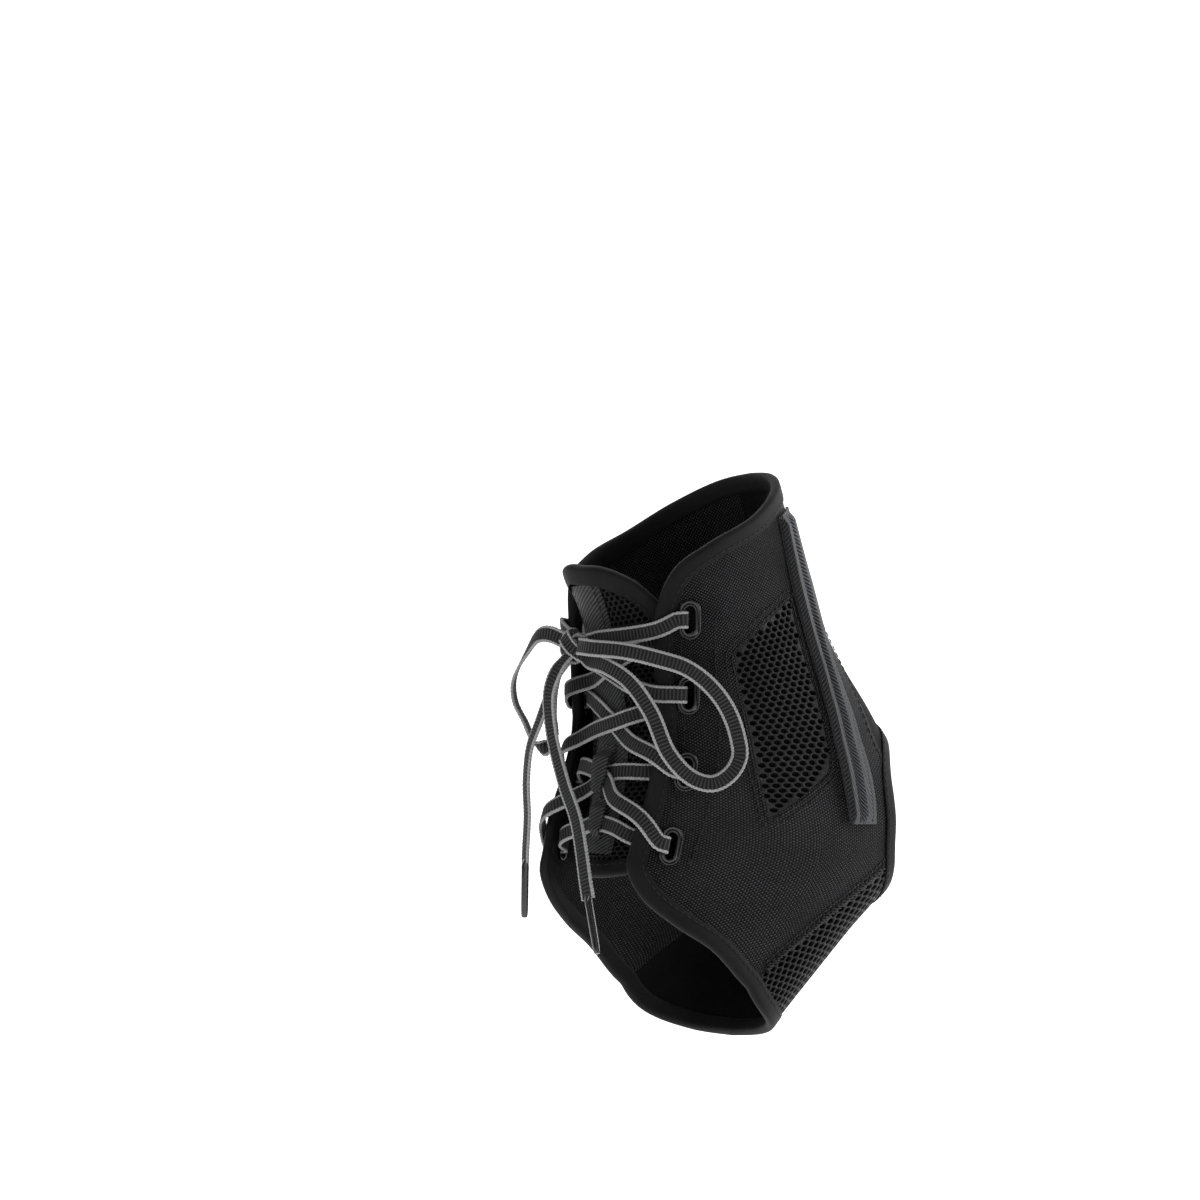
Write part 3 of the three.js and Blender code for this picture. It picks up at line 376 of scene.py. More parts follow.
def walk(places, direction, distance, surface=flared):
    down, across, _ = tangents(surface, *places.T)
    e = np.sum(down * down, 1)
    f = np.sum(down * across, 1)
    g = np.sum(across * across, 1)
    a = np.sum(direction * down, 1) * distance
    b = np.sum(direction * across, 1) * distance
    det = e * g - f * f
    return places + np.stack([(a * g - b * f) / det, (b * e - a * f) / det], 1)


# Curves
def catmull(points, closed):
    """The centripetal curve through points, as a function of shares from 0 to 1."""
    points = np.asarray(points, float)
    n = len(points)
    if closed:
        padded = np.vstack([points[-1:], points, points[:2]])
        spans = n
    else:
        padded = np.vstack([2 * points[:1] - points[1:2], points, 2 * points[-1:] - points[-2:-1]])
        spans = n - 1

    def at(t):
        x = np.clip(np.asarray(t, float), 0, 1) * spans
        i = np.minimum(np.floor(x).astype(int), spans - 1)
        w = (x - i)[:, None]
        p0, p1, p2, p3 = (padded[i + k] for k in range(4))
        d0, d1, d2 = (
            np.maximum(np.linalg.norm(b - a, axis=1), 1e-8)[:, None] ** 0.5
            for a, b in ((p0, p1), (p1, p2), (p2, p3))
        )
        t1 = ((p1 - p0) / d0 - (p2 - p0) / (d0 + d1) + (p2 - p1) / d1) * d1
        t2 = ((p2 - p1) / d1 - (p3 - p1) / (d1 + d2) + (p3 - p2) / d2) * d1
        c2 = -3 * p1 + 3 * p2 - 2 * t1 - t2
        c3 = 2 * p1 - 2 * p2 + t1 + t2
        return p1 + t1 * w + c2 * w ** 2 + c3 * w ** 3

    return at


def spaced(points, count, closed=False):
    """count + 1 points at equal distances along the curve through points."""
    at = catmull(points, closed)
    shares = np.linspace(0, 1, CURVE_STEPS)
    far = travelled(at(shares))
    return at(np.interp(np.linspace(0, far[-1], count + 1), far, shares))


def curve_length(points, closed=False):
    fine = catmull(points, closed)(np.linspace(0, 1, 801))
    return float(np.sum(np.linalg.norm(np.diff(fine, axis=0), axis=1)))


def smooth(points, count, closed):
    scale = np.array([FLAT_STATION * DOWNWARD, FLAT_TURN])
    made = spaced(np.asarray(points, float) * scale, count, closed) / scale
    return made[:-1] if closed else made


def both_sides(half, middle):
    half = [list(p) for p in half]
    return half + [[s, 2 * middle - t] for s, t in reversed(half[1:-1])]


def mirror(points):
    points = np.asarray(points, float)
    shift = RIGHT_FRONT_SHIFT * ease(1.5, 3, points[:, 0]) * (1 - ease(40, 100, points[:, 1]))
    return np.stack([points[:, 0], shift - points[:, 1]], 1)


def through_back(points):
    points = np.asarray(points, float)
    return np.stack([points[:, 0], 360 - points[:, 1]], 1)[::-1]


def turns_left(loop):
    s, t = loop[:, 0], loop[:, 1]
    return np.sum(t * np.roll(s, -1) - np.roll(t, -1) * s) < 0


def inset(loop, distance, surface=flared):
    way = unit(np.cross(outward(loop, surface), heading(loop, surface)))
    return walk(loop, way, distance, surface)


def inward(loop, distance, surface=flared):
    loop = np.asarray(loop, float)
    return inset(loop, distance if turns_left(loop) else -distance, surface)


def flat(places):
    places = np.asarray(places, float)
    return np.stack([places[:, 1] * FLAT_TURN, -places[:, 0] * FLAT_STATION], 1)


def unflat(points):
    return np.stack([-points[:, 1] / FLAT_STATION, points[:, 0] / FLAT_TURN], 1)


def inside(points, loop):
    """Which points lie inside a closed flat loop."""
    x, y = points[:, 0][:, None], points[:, 1][:, None]
    ax, ay = loop[:, 0][None], loop[:, 1][None]
    bx, by = np.roll(loop[:, 0], -1)[None], np.roll(loop[:, 1], -1)[None]
    found = np.zeros(len(points), bool)
    for i in range(0, len(points), BATCH):
        part = slice(i, i + BATCH)
        rise = np.where(by == ay, 1e-12, by - ay)
        edge_x = (bx - ax) * (y[part] - ay) / rise + ax
        crosses = ((ay > y[part]) != (by > y[part])) & (x[part] < edge_x)
        found[part] = np.sum(crosses, 1) % 2 == 1
    return found


def away_from(points, loop):
    """The distance of points from a closed flat loop."""
    best = np.full(len(points), 1e9)
    for a, b in zip(loop, np.roll(loop, -1, 0)):
        ab = b - a
        share = np.clip(((points - a) @ ab) / max(ab @ ab, 1e-12), 0, 1)
        gone = points - (a + share[:, None] * ab)
        best = np.minimum(best, np.hypot(*gone.T))
    return best


# Meshes
def make(name, points, faces, lay, material, slot, nodes=(), sharp=40):
    """A piece from points in millimetres. lay holds the cloth's own flat place at each corner."""
    mesh = bpy.data.meshes.new(name)
    mesh.from_pydata((np.asarray(points) * MM).tolist(), [], [list(map(int, f)) for f in faces])
    lay = np.asarray(lay, float)
    if len(lay) == len(points) and len(lay) != len(mesh.loops):
        corner = np.empty(len(mesh.loops), dtype=np.int32)
        mesh.loops.foreach_get("vertex_index", corner)
        lay = lay[corner]
    values = np.zeros((len(mesh.loops), 3), dtype=np.float32)
    values[:, : lay.shape[1]] = lay
    layer = mesh.attributes.new("lay", "FLOAT_VECTOR", "CORNER")
    layer.data.foreach_set("vector", values.ravel())
    mesh.polygons.foreach_set("use_smooth", [True] * len(mesh.polygons))
    mesh.set_sharp_from_angle(angle=math.radians(sharp))
    mesh.materials.append(material)
    mesh.update()
    piece = linked(name, mesh)
    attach(piece, "root")
    if nodes:
        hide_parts(*nodes)
    return piece


def flat_cut(within, without, cell, holes=None, radius=0, rim=0, sides=ROUND_HOLE_SIDES):
    """Cloth cut out flat: points, triangles, and how near each point is to a hole's edge (1 at it)."""
    loops = [np.asarray(loop) for loop in within + without]
    points = []
    edges = []
    tags = []

    def outline_points(loop, tag):
        base = len(points)
        points.extend(loop.tolist())
        tags.extend([tag] * len(loop))
        edges.extend((base + i, base + (i + 1) % len(loop)) for i in range(len(loop)))

    def in_cloth(spots, margin=None):
        keep = np.ones(len(spots), bool)
        for k, loop in enumerate(loops):
            keep &= inside(spots, loop) == (k < len(within))
            if margin:
                keep &= away_from(spots, loop) > margin
        return keep

    for loop in loops:
        outline_points(loop, 0.0)
    low = loops[0].min(0)
    high = loops[0].max(0)
    centres = np.zeros((0, 2))
    if holes:
        pitch_x, pitch_y, skew = holes
        columns = np.arange(math.floor(low[0] / pitch_x), math.ceil(high[0] / pitch_x) + 1)
        rows = []
        for row in np.arange(math.floor(low[1] / pitch_y), math.ceil(high[1] / pitch_y) + 1):
            x = (columns + (row % 2) * 0.5) * pitch_x + (skew * row) % pitch_x
            rows.append(np.stack([x, np.full(len(x), row * pitch_y)], 1))
        centres = np.vstack(rows)
        centres = centres[in_cloth(centres, HOLE_MARGIN)]
        angle = np.arange(sides) * 2 * math.pi / sides + math.pi / sides
        ring = np.stack([np.cos(angle), np.sin(angle)], 1)
        for centre in centres:
            outline_points(centre + ring * radius, 1.0)
            outline_points(centre + ring * (radius + rim), 0.0)
    else:
        xs = np.arange(low[0], high[0] + cell, cell)
        ys = np.arange(low[1], high[1] + cell, cell * ROW_SHARE)
        grid = np.array([[x + (j % 2) * cell / 2, y] for j, y in enumerate(ys) for x in xs])
        grid = grid[in_cloth(grid, cell * EDGE_MARGIN)]
        points += grid.tolist()
        tags += [0.0] * len(grid)
    made = delaunay_2d_cdt([Vector(p) for p in points], edges, [], 0, 1e-6)
    flat_points = np.array([list(p) for p in made[0]])
    tag = np.array([max([tags[k] for k in origin if k < len(tags)], default=0.0) for origin in made[3]])
    faces = np.array([f for f in made[2] if len(f) == 3])
    middle = flat_points[faces].mean(1)
    keep = in_cloth(middle)
    if len(centres):
        tree = KDTree(len(centres))
        for k, c in enumerate(centres):
            tree.insert((c[0], c[1], 0), k)
        tree.balance()
        near = np.array([tree.find((m[0], m[1], 0))[2] for m in middle])
        keep &= near > radius * math.cos(math.pi / sides) * 0.999
    faces = faces[keep]
    a, b, c = (flat_points[faces[:, k]] for k in range(3))
    area = (b[:, 0] - a[:, 0]) * (c[:, 1] - a[:, 1]) - (b[:, 1] - a[:, 1]) * (c[:, 0] - a[:, 0])
    faces = faces[np.abs(area) > 1e-7]
    area = area[np.abs(area) > 1e-7]
    faces[area < 0] = faces[area < 0][:, ::-1]
    used, order = np.unique(faces, return_inverse=True)
    return flat_points[used], order.reshape(faces.shape), tag[used]


def lift_at(lift, places):
    return lift(*places.T) if callable(lift) else lift


def slab(cut, low, high, surface=flared, sink=0.0):
    """A cut of cloth laid over the form between two lifts, which may be functions of the place."""
    points, faces, tag = cut
    places = unflat(points)
    outer = place(*places.T, lift_at(high, places) - sink * tag, surface)
    inner = place(*places.T, lift_at(low, places), surface)
    count = len(points)
    every = [list(f) for f in faces] + [[c + count, b + count, a + count] for a, b, c in faces]
    edges = dict.fromkeys(edge for a, b, c in faces for edge in ((a, b), (b, c), (c, a)))
    every += [[a, a + count, b + count, b] for a, b in edges if (b, a) not in edges]
    return np.vstack([outer, inner]), every, np.vstack([points, points])


def swept(rings, closed, lay_across, lay_along):
    """Points, faces and corner places of a closed body through rings of points."""
    rings = np.asarray(rings)
    count, sides = rings.shape[:2]
    points = rings.reshape(-1, 3)
    faces = []
    lay = []
    for i in range(count if closed else count - 1):
        nxt = (i + 1) % count
        for j in range(sides):
            k = (j + 1) % sides
            faces.append([i * sides + j, i * sides + k, nxt * sides + k, nxt * sides + j])
            a, b = lay_across[j], lay_across[j + 1]
            lay += [(a, lay_along[i]), (b, lay_along[i]), (b, lay_along[i + 1]), (a, lay_along[i + 1])]
    if not closed:
        for i, ring in ((0, range(sides)[::-1]), (count - 1, range(sides))):
            faces.append([i * sides + j for j in ring])
            lay += [(lay_across[j], lay_along[i]) for j in ring]
    a, b, c, d = (points[np.array([f[m] for f in faces if len(f) == 4])] for m in range(4))
    volume = np.sum(a * np.cross(b, c)) + np.sum(a * np.cross(c, d))
    if volume < 0:
        turned = []
        at = 0
        for k, f in enumerate(faces):
            turned += lay[at: at + len(f)][::-1]
            at += len(f)
            faces[k] = f[::-1]
        lay = turned
    return points, faces, np.array(lay)


def join(parts):
    """Several (points, faces, corner places) as one."""
    points = []
    faces = []
    lay = []
    base = 0
    for p, f, l in parts:
        points.append(p)
        faces += [[k + base for k in face] for face in f]
        if len(l) == len(p):
            l = np.asarray(l)[np.array([k for face in f for k in face])]
        lay.append(np.asarray(l)[:, :2])
        base += len(p)
    return np.vstack(points), faces, np.vstack(lay)


# Materials
class Value:
    """A node's output. Arithmetic with it makes Math nodes."""

    def __init__(self, nodes, socket):
        self.nodes = nodes
        self.socket = socket

    def __add__(self, other):
        return self.nodes.math("ADD", self, other)

    def __sub__(self, other):
        return self.nodes.math("SUBTRACT", self, other)

    def __rsub__(self, other):
        return self.nodes.math("SUBTRACT", other, self)

    def __mul__(self, other):
        return self.nodes.math("MULTIPLY", self, other)


class Nodes:
    """A material with a Principled shader, and short calls for its nodes."""

    def __init__(self, name, **values):
        self.material = bpy.data.materials.new(name)
        self.material.use_nodes = True
        self.tree = self.material.node_tree
        self.shader = self.tree.nodes["Principled BSDF"]
        for key, value in values.items():
            self.shader.inputs[key.replace("_", " ")].default_value = value
        attribute = self.tree.nodes.new("ShaderNodeAttribute")
        attribute.attribute_name = "lay"
        self.vector = Value(self, attribute.outputs["Vector"])
        split = self.add("ShaderNodeSeparateXYZ", Vector=self.vector)
        self.across = Value(self, split.outputs[0])
        self.along = Value(self, split.outputs[1])

    def link(self, value, socket):
        if isinstance(value, Value):
            self.tree.links.new(value.socket, socket)
        else:
            socket.default_value = value

    def add(self, kind, **inputs):
        node = self.tree.nodes.new(kind)
        for key, value in inputs.items():
            self.link(value, node.inputs[key.replace("_", " ")])
        return node

    def math(self, operation, *values):
        node = self.add("ShaderNodeMath")
        node.operation = operation
        for k, value in enumerate(values):
            self.link(value, node.inputs[k])
        return Value(self, node.outputs[0])

    def noise(self, scale, detail=2.0, roughness=0.5):
        node = self.add(
            "ShaderNodeTexNoise", Scale=scale, Detail=detail, Roughness=roughness, Vector=self.vector)
        return Value(self, node.outputs["Fac"])

    def ramp(self, factor, low, high, a, b):
        """The factor mapped from low..high to a..b."""
        node = self.add("ShaderNodeMapRange", Value=factor, From_Min=low, From_Max=high, To_Min=a, To_Max=b)
        node.interpolation_type = "SMOOTHSTEP"
        return Value(self, node.outputs[0])

    def colour(self, factor, a, b):
        node = self.add("ShaderNodeMix", Factor=factor)
        node.data_type = "RGBA"
        for k, value in ((6, a), (7, b)):
            self.link(value if isinstance(value, Value) else (*value, 1), node.inputs[k])
        return Value(self, node.outputs[2])

    def humps(self, value, pitch, power=0.5):
        """0 at each multiple of the pitch, 1 halfway between."""
        wave = self.math("ABSOLUTE", self.math("SINE", value * (math.pi / pitch)))
        return self.math("POWER", wave, power)

    def finish(self, colour, roughness, height, strength, distance):
        self.link(colour, self.shader.inputs["Base Color"])
        self.link(roughness, self.shader.inputs["Roughness"])
        bump = self.add("ShaderNodeBump", Strength=strength, Distance=distance * MM, Height=height)
        self.link(Value(self, bump.outputs[0]), self.shader.inputs["Normal"])
        return self.material


def woven_material(name, cell, dark, light, roughness, strength, **values):
    n = Nodes(name, **values)
    warp = n.humps(n.across, cell)
    weft = n.humps(n.along, cell)
    columns = n.math("FLOOR", n.math("DIVIDE", n.across, cell))
    rows = n.math("FLOOR", n.math("DIVIDE", n.along, cell))
    over = n.math("FLOORED_MODULO", columns + rows, 2.0)
    up_yarn = warp * (weft * 0.6 + 0.4)
    side_yarn = weft * (warp * 0.6 + 0.4)
    height = up_yarn * over + side_yarn * (1.0 - over)
    blotch = n.noise(0.06, 3)
    fleck = n.noise(1.7, 2)
    # The colour follows the yarns' relief. Warp floats are painted lighter than weft floats, as a painted
    # highlight of their sheen. The power of 3 fills the gaps between yarns with painted shade.
    painted_float_light = up_yarn * over + side_yarn * (over * -0.25 + 0.25)
    shade = n.math("POWER", painted_float_light, 3.0) * n.ramp(fleck, 0.3, 0.7, 0.45, 1.3)
    shade = shade * n.ramp(blotch, 0.3, 0.7, 0.75, 1.15)
    rough = n.ramp(height + fleck * 0.3, 0.2, 1.2, roughness + 0.18, roughness)
    return n.finish(n.colour(shade, dark, light), rough, height + fleck * 0.25, strength, 0.25)


def twill_material(name, pitch, band, start, slope, hem, dark, light, roughness, **values):
    """Diagonal ribs that turn back at each band, as on herringbone tape."""
    n = Nodes(name, **values)
    zigzag = n.math("PINGPONG", n.across + start, band)
    rib = n.humps(n.along + zigzag * slope, pitch, 3.0)
    yarn = n.humps(n.across, 0.5, 0.7)
    spine = n.ramp(zigzag, 0.0, 0.35, 0.45, 1.0)
    height = rib * (yarn * 0.35 + 0.65) * spine
    fleck = n.noise(1.2, 3)
    # The rib crests are painted light and the grooves between them dark, as painted highlights and painted
    # shade. Over the first few millimetres from the front edge the colour darkens: this is the tape's black
    # front ridge, together with painted shade of the seam beside the window.
    shade = height * n.ramp(fleck, 0.3, 0.7, 0.7, 1.15) * n.ramp(n.across, hem - 0.6, hem + 0.4, 0.1, 1.0)
    rough = n.ramp(height, 0.1, 1.0, roughness + 0.22, roughness)
    return n.finish(n.colour(shade, dark, light), rough, height + fleck * 0.2, 1.0, 0.25)


def fine_material(name, dark, light, roughness, strength, pitch=0.45, **values):
    """Close smooth tape or knit, with fine ribs and soft unevenness."""
    n = Nodes(name, **values)
    ribs = n.humps(n.along, pitch, 0.7)
    yarn = n.humps(n.across, pitch * 1.2, 0.7)
    height = (ribs * 0.6 + 0.4) * (yarn * 0.4 + 0.6)
    fuzz = n.noise(2.3, 3, 0.65)
    # The ribs' crests are painted lighter than the grooves between them: painted shade in the grooves, mixed
    # with random fuzz.
    shade = (height * 0.5 + fuzz * 0.5) * n.ramp(n.noise(0.12, 3), 0.3, 0.7, 0.75, 1.15)
    rough = n.ramp(fuzz, 0.3, 0.7, roughness - 0.06, roughness + 0.08)
    return n.finish(n.colour(shade, dark, light), rough, height + fuzz * 0.8, strength, 0.12)


def lace_material(name):
    """A flat lace: pale yarn along both edges and a ribbed dark middle."""
    n = Nodes(name, Sheen_Weight=0.05, Sheen_Roughness=0.5, Specular_IOR_Level=0.2)
    away = n.math("ABSOLUTE", n.across)
    edge = n.ramp(away + (n.noise(1.5, 2) - 0.5) * 0.6, 1.98, 2.2, 0.0, 1.0)
    # The dark middle is painted with a thin light line at each rib: painted highlights on the ribs.
    rib = 1.0 - n.humps(n.along, LACE_RIB, 0.55)
    plait = n.humps(n.along + away * 1.3, 0.8, 0.6)
    fuzz = n.noise(2.6, 3, 0.7)
    middle = n.colour(rib * n.ramp(fuzz, 0.3, 0.7, 0.4, 1.3), (0.002, 0.002, 0.0022), (0.065, 0.065, 0.067))
    rim = n.colour(plait * n.ramp(fuzz, 0.3, 0.7, 0.7, 1.1), (0.09, 0.09, 0.094), (0.38, 0.38, 0.385))
    rough = n.ramp(fuzz, 0.3, 0.7, 0.62, 0.85)
    return n.finish(n.colour(edge, middle, rim), rough, rib * 0.8 + fuzz * 0.35, 0.8, 0.3)


def gloss_material(name, colour, roughness, scratch, **values):
    """Paint or plastic, a little worn and scratched."""
    n = Nodes(name, **values)
    wear = n.noise(0.9, 4, 0.65)
    worn = tuple(c * 2 + 0.004 for c in colour)
    shade = n.colour(n.ramp(wear, 0.45, 0.8, 0.0, 1.0), colour, worn)
    rough = n.ramp(wear, 0.3, 0.75, roughness, roughness + scratch)
    return n.finish(shade, rough, n.noise(0.8, 2), 0.1, 0.03)


woven = woven_material(
    "woven_nylon", 0.66, (0.0003, 0.0003, 0.0004), (0.058, 0.058, 0.062), 0.42, 1.0,
    Sheen_Weight=0.005, Sheen_Roughness=0.4, Specular_IOR_Level=0.07)
gusset_weave = woven_material(
    "gusset_weave", 0.5, (0.0005, 0.0005, 0.0006), (0.03, 0.03, 0.031), 0.6, 0.8,
    Sheen_Weight=0.005, Specular_IOR_Level=0.06)
edge_tape = fine_material(
    "edge_tape", (0.002, 0.002, 0.0022), (0.0085, 0.0085, 0.0088), 0.6, 0.45,
    Sheen_Weight=0.01, Sheen_Roughness=0.4, Specular_IOR_Level=0.12)
# The twill tapes' light colours are those of the painted highlights on their rib crests.
stay_tape = twill_material(
    "stay_tape", 1.5, 6.0, 0.0, 1.3, 3.0, (0.0005, 0.0005, 0.0006), (0.15, 0.154, 0.175), 0.33,
    Specular_IOR_Level=0.32)
strip_tape = twill_material(
    "strip_tape", 1.4, 24.0, 12.0, -0.5, -20.0, (0.001, 0.001, 0.0011), (0.05, 0.05, 0.052), 0.45,
    Specular_IOR_Level=0.3)
net = fine_material(
    "spacer_net", (0.0006, 0.0006, 0.0007), (0.017, 0.017, 0.018), 0.45, 0.8, pitch=0.6,
    Sheen_Weight=0.005, Specular_IOR_Level=0.12)
lining = fine_material(
    "spacer_lining", (0.001, 0.001, 0.0011), (0.006, 0.006, 0.0062), 0.85, 0.6, pitch=0.8,
    Specular_IOR_Level=0.05)
thread = fine_material(
    "sewing_thread", (0.0012, 0.0012, 0.0013), (0.01, 0.01, 0.0105), 0.5, 0.5, pitch=0.3,
    Specular_IOR_Level=0.25)
lace = lace_material("flat_lace")
eyelet_paint = gloss_material(
    "eyelet_paint", (0.0015, 0.0015, 0.002), 0.2, 0.12,
    Specular_IOR_Level=0.4, Coat_Weight=0.2, Coat_Roughness=0.12)
tip_plastic = gloss_material(
    "tip_plastic", (0.008, 0.008, 0.009), 0.2, 0.15, Coat_Weight=0.4, Coat_Roughness=0.1)

# Outlines
CLOTH_INSET = BINDING_FOLD + GAP
left_edge = smooth(RIM_AND_FRONT, 280, False)
right_edge = mirror(left_edge)
right_beyond = right_edge[1:-1][::-1] + np.array([0, 360.0])
whole_edge = np.vstack([left_edge, right_beyond])
heel_edge = smooth(both_sides(HEEL_OPENING, 180), 120, True)
SIDES = ((1, "left", np.asarray), (-1, "right", mirror))


def eyelet_place(index, side):
    here = np.array([EYELETS[index]], float)
    return here if side > 0 else mirror(here)


def eyelet_frame(index, side):
    """The origin of an eyelet, its row's cross direction, the row's direction, and outward."""
    here = eyelet_place(index, side)
    before = eyelet_place(max(0, index - 1), side)
    after = eyelet_place(min(len(EYELETS) - 1, index + 1), side)
    out = outward(here)[0]
    along = (flared(*after.T) - flared(*before.T))[0]
    y = unit(along - out * np.dot(along, out))
    return flared(*here.T)[0], unit(np.cross(y, out)), y, out


# The lace
EYELET_SEAT = CLOTH + GAP + 0.15
EYELET_TOP = EYELET_SEAT + EYELET_FLANGE_THICKNESS
BEND_OFFSET = HOLE_WIDTH / 2 + 0.2
BEND_RADIUS = LACE_THICKNESS / 2 + GAP + 0.3
LACE_SPLIT = 1.4
RUN_STEP = 1.1
RUN_TURN = 8


def eyelet_bend(index, side, above):
    """The lace's way out of an eyelet: points, the way of its width, and the place that it leaves to."""
    origin, x, y, out = eyelet_frame(index, side)
    face = 1 if above else -1
    centre = EYELET_TOP - 0.15 if above else LACE_UNDER + BEND_RADIUS
    start = LACE_SPLIT + face * GAP / 2
    profile = [(BEND_OFFSET - BEND_RADIUS, mix(start, centre, share)) for share in (0, 0.3, 0.6, 0.85)]
    for degrees in range(0, 91, 15):
        a = math.radians(degrees)
        profile.append((BEND_OFFSET - BEND_RADIUS * math.cos(a), centre + face * BEND_RADIUS * math.sin(a)))
    points = np.array([origin + x * side * away + out * lift for away, lift in profile])
    leave = walk(eyelet_place(index, side), (x * side)[None], BEND_OFFSET + 2.6)[0]
    return points, y, [leave[0], leave[1], centre + face * BEND_RADIUS]


knot_origin = place(*KNOT_PLACE)[0]
_, _across, _out = tangents(flared, np.array([KNOT_PLACE[0]]), np.array([KNOT_PLACE[1]]))
knot_out = _out[0]
knot_x = unit(_across[0] - knot_out * np.dot(_across[0], knot_out))
knot_y = np.cross(knot_out, knot_x)


def in_knot(x, y, z):
    return knot_origin + knot_x * x + knot_y * y + knot_out * z


def knot_seat(point, gap=KNOT_GAP):
    gone = np.asarray(point) - knot_origin
    way = unit(np.array([gone @ knot_x, gone @ knot_y, gone @ knot_out]))
    span = np.linalg.norm(way / np.array(KNOT))
    return in_knot(*(way * (0.5 / span + gap)))


# A flat lace's section: across, up. Its edges are rolled a little thicker than its middle.
LACE_TOP = [
    (-3.0, 0.0), (-2.86, 0.38), (-2.55, 0.55), (-2.2, 0.46), (-1.2, 0.47), (0.0, 0.5), (1.2, 0.47),
    (2.2, 0.46), (2.55, 0.55), (2.86, 0.38), (3.0, 0.0),
]
LACE_SECTION = np.array(LACE_TOP + [(x, -y) for x, y in LACE_TOP[-2:0:-1]])


def soften(values, times):
    values = np.array(values, float)
    for _ in range(times):
        values[1:-1] = (values[:-2] + 2 * values[1:-1] + values[2:]) / 4
    return values


def ribbon(points, sides, cup=0.0, width=1):
    """The body of a flat lace along points, with the direction of its width at each."""
    points = np.asarray(points)
    along = unit(np.gradient(points, axis=0))
    sides = unit(np.asarray(sides) - along * np.sum(np.asarray(sides) * along, 1)[:, None])
    ups = np.cross(along, sides)
    far = travelled(points)
    across, rise = LACE_SECTION.T
    bow = -cup * ((across / 3) ** 2 - 0.4)
    rings = []
    for i, point in enumerate(points):
        rib = math.cos(far[i] * 2 * math.pi / LACE_RIB)
        x = across * (width + 0.04 * rib)
        y = rise * (1 + 0.1 * rib) + bow
        rings.append(point + sides[i] * x[:, None] + ups[i] * y[:, None])
    return swept(rings, False, np.append(across, across[0]), far)


def evenly(points, others, step):
    """The points resampled at equal steps, and others with them."""
    far = travelled(points)
    count = max(4, int(round(far[-1] / step)))
    want = np.linspace(0, far[-1], count + 1)
    return columns_at(want, far, np.asarray(points)), columns_at(want, far, np.asarray(others))


def lace_run(name, start_at, end_at, way):
    """The lace from one eyelet to another, or up to the knot, bent down into each eyelet."""
    start = eyelet_bend(*start_at)
    end = eyelet_bend(*end_at) if end_at else None
    chosen = [start[2]] + way + ([end[2]] if end else [])
    scale = np.array([FLAT_STATION, FLAT_TURN, 1])
    flat_way = np.array(chosen, float) * scale
    samples = spaced(flat_way, int(round(curve_length(flat_way) / RUN_STEP))) / scale
    points = place(*samples.T)
    sides = unit(np.cross(outward(samples[:, :2]), np.gradient(points, axis=0)))
    gone = np.arange(len(points)) * RUN_STEP
    for bend, near, first in ((start, gone, 0), (end, gone[::-1], -1)):
        if bend:
            row = bend[1] * np.sign(bend[1] @ sides[first])
            share = (1 - ease(0, RUN_TURN, near))[:, None]
            sides = sides * (1 - share) + row * share
    if not end:
        seat = knot_seat(points[-1], -0.8)
        points = np.vstack([points, mix(points[-1], seat, 0.5), seat])
        sides = np.vstack([sides, sides[-1:], sides[-1:]])
    row = start[1] * np.sign(start[1] @ sides[0])
    points = np.vstack([start[0], points])
    sides = np.vstack([np.tile(row, (len(start[0]), 1)), sides])
    if end:
        row = end[1] * np.sign(end[1] @ sides[-1])
        points = np.vstack([points, end[0][::-1]])
        sides = np.vstack([sides, np.tile(row, (len(end[0]), 1))])
    points, sides = evenly(points, sides, LACE_STEP)
    body = ribbon(soften(points, 14), soften(sides, 28), 0.12)
    make(name + "_fine", *body, lace, "lace", [name], sharp=60)


def free_lace(name, ends, chosen, faces):
    """A loop or a hanging end of the bow, which leaves the knot. Both of a loop's ends are at it."""
    middle = np.array(chosen) * 1000
    first = knot_seat(middle[0])
    route = [first] + list(middle) + ([knot_seat(middle[-1])] if ends == 2 else [])
    count = int(round(curve_length(route) / LACE_STEP))
    points = spaced(route, count)
    along = np.gradient(points, axis=0)
    share = np.linspace(0, 1, len(points)) * (len(faces) - 1)
    face = columns_at(share, np.arange(len(faces)), np.array(faces, float))
    sides = soften(unit(np.cross(face, along)), 56)
    piece = make(name + "_fine", *ribbon(points, sides, 0.1), lace, "lace", [name], sharp=60)
    if ends == 1:
        aglet(name.replace("lace_end", "aglet"), points[-1], points[-1] - points[-2], sides[-1])
    path = points[np.linspace(0, len(points) - 1, len(points) // 8 + 1).round().astype(int)]
    tuple(path[0] * MM)
    (path * MM).tolist()


def aglet(name, tip, along, side):
    """A rolled tip, which narrows at its end and shows the overlap of its sheet."""
    along = unit(along)
    side = unit(side - along * (side @ along))
    other = np.cross(along, side)
    radius = AGLET_DIAMETER / 2
    profile = [
        (-1.6, 0.62, 1.9), (-0.4, 0.9, 1.35), (GAP, 0.96, 1.06), (GAP + 0.5, 1.0, 1.0), (6, 0.99, 1.0),
        (12, 0.98, 1.0), (AGLET_LENGTH - 2.2, 0.95, 1.0), (AGLET_LENGTH - 0.6, 0.86, 1.0),
        (AGLET_LENGTH + GAP - 0.1, 0.7, 1.0), (AGLET_LENGTH + GAP, 0.45, 1.0),
    ]
    angles = np.arange(24) * 2 * math.pi / 24
    rings = []
    for far, size, wide in profile:
        overlap = 1 + 0.07 * (angles / (2 * math.pi))
        x = np.cos(angles) * radius * size * wide * overlap
        y = np.sin(angles) * radius * size / wide * overlap
        rings.append(tip + along * far + side * x[:, None] + other * y[:, None])
    turned = np.append(angles, 2 * math.pi) * radius
    body = swept(rings, False, turned, [p[0] for p in profile])
    return make(name + "_fine", *body, tip_plastic, "lace_tip", [name], sharp=50)


KNOT_WRAP = (4.9, 3.6)
KNOT_WRAP_STEPS = 64
KNOT_TILT = math.tan(math.radians(24))
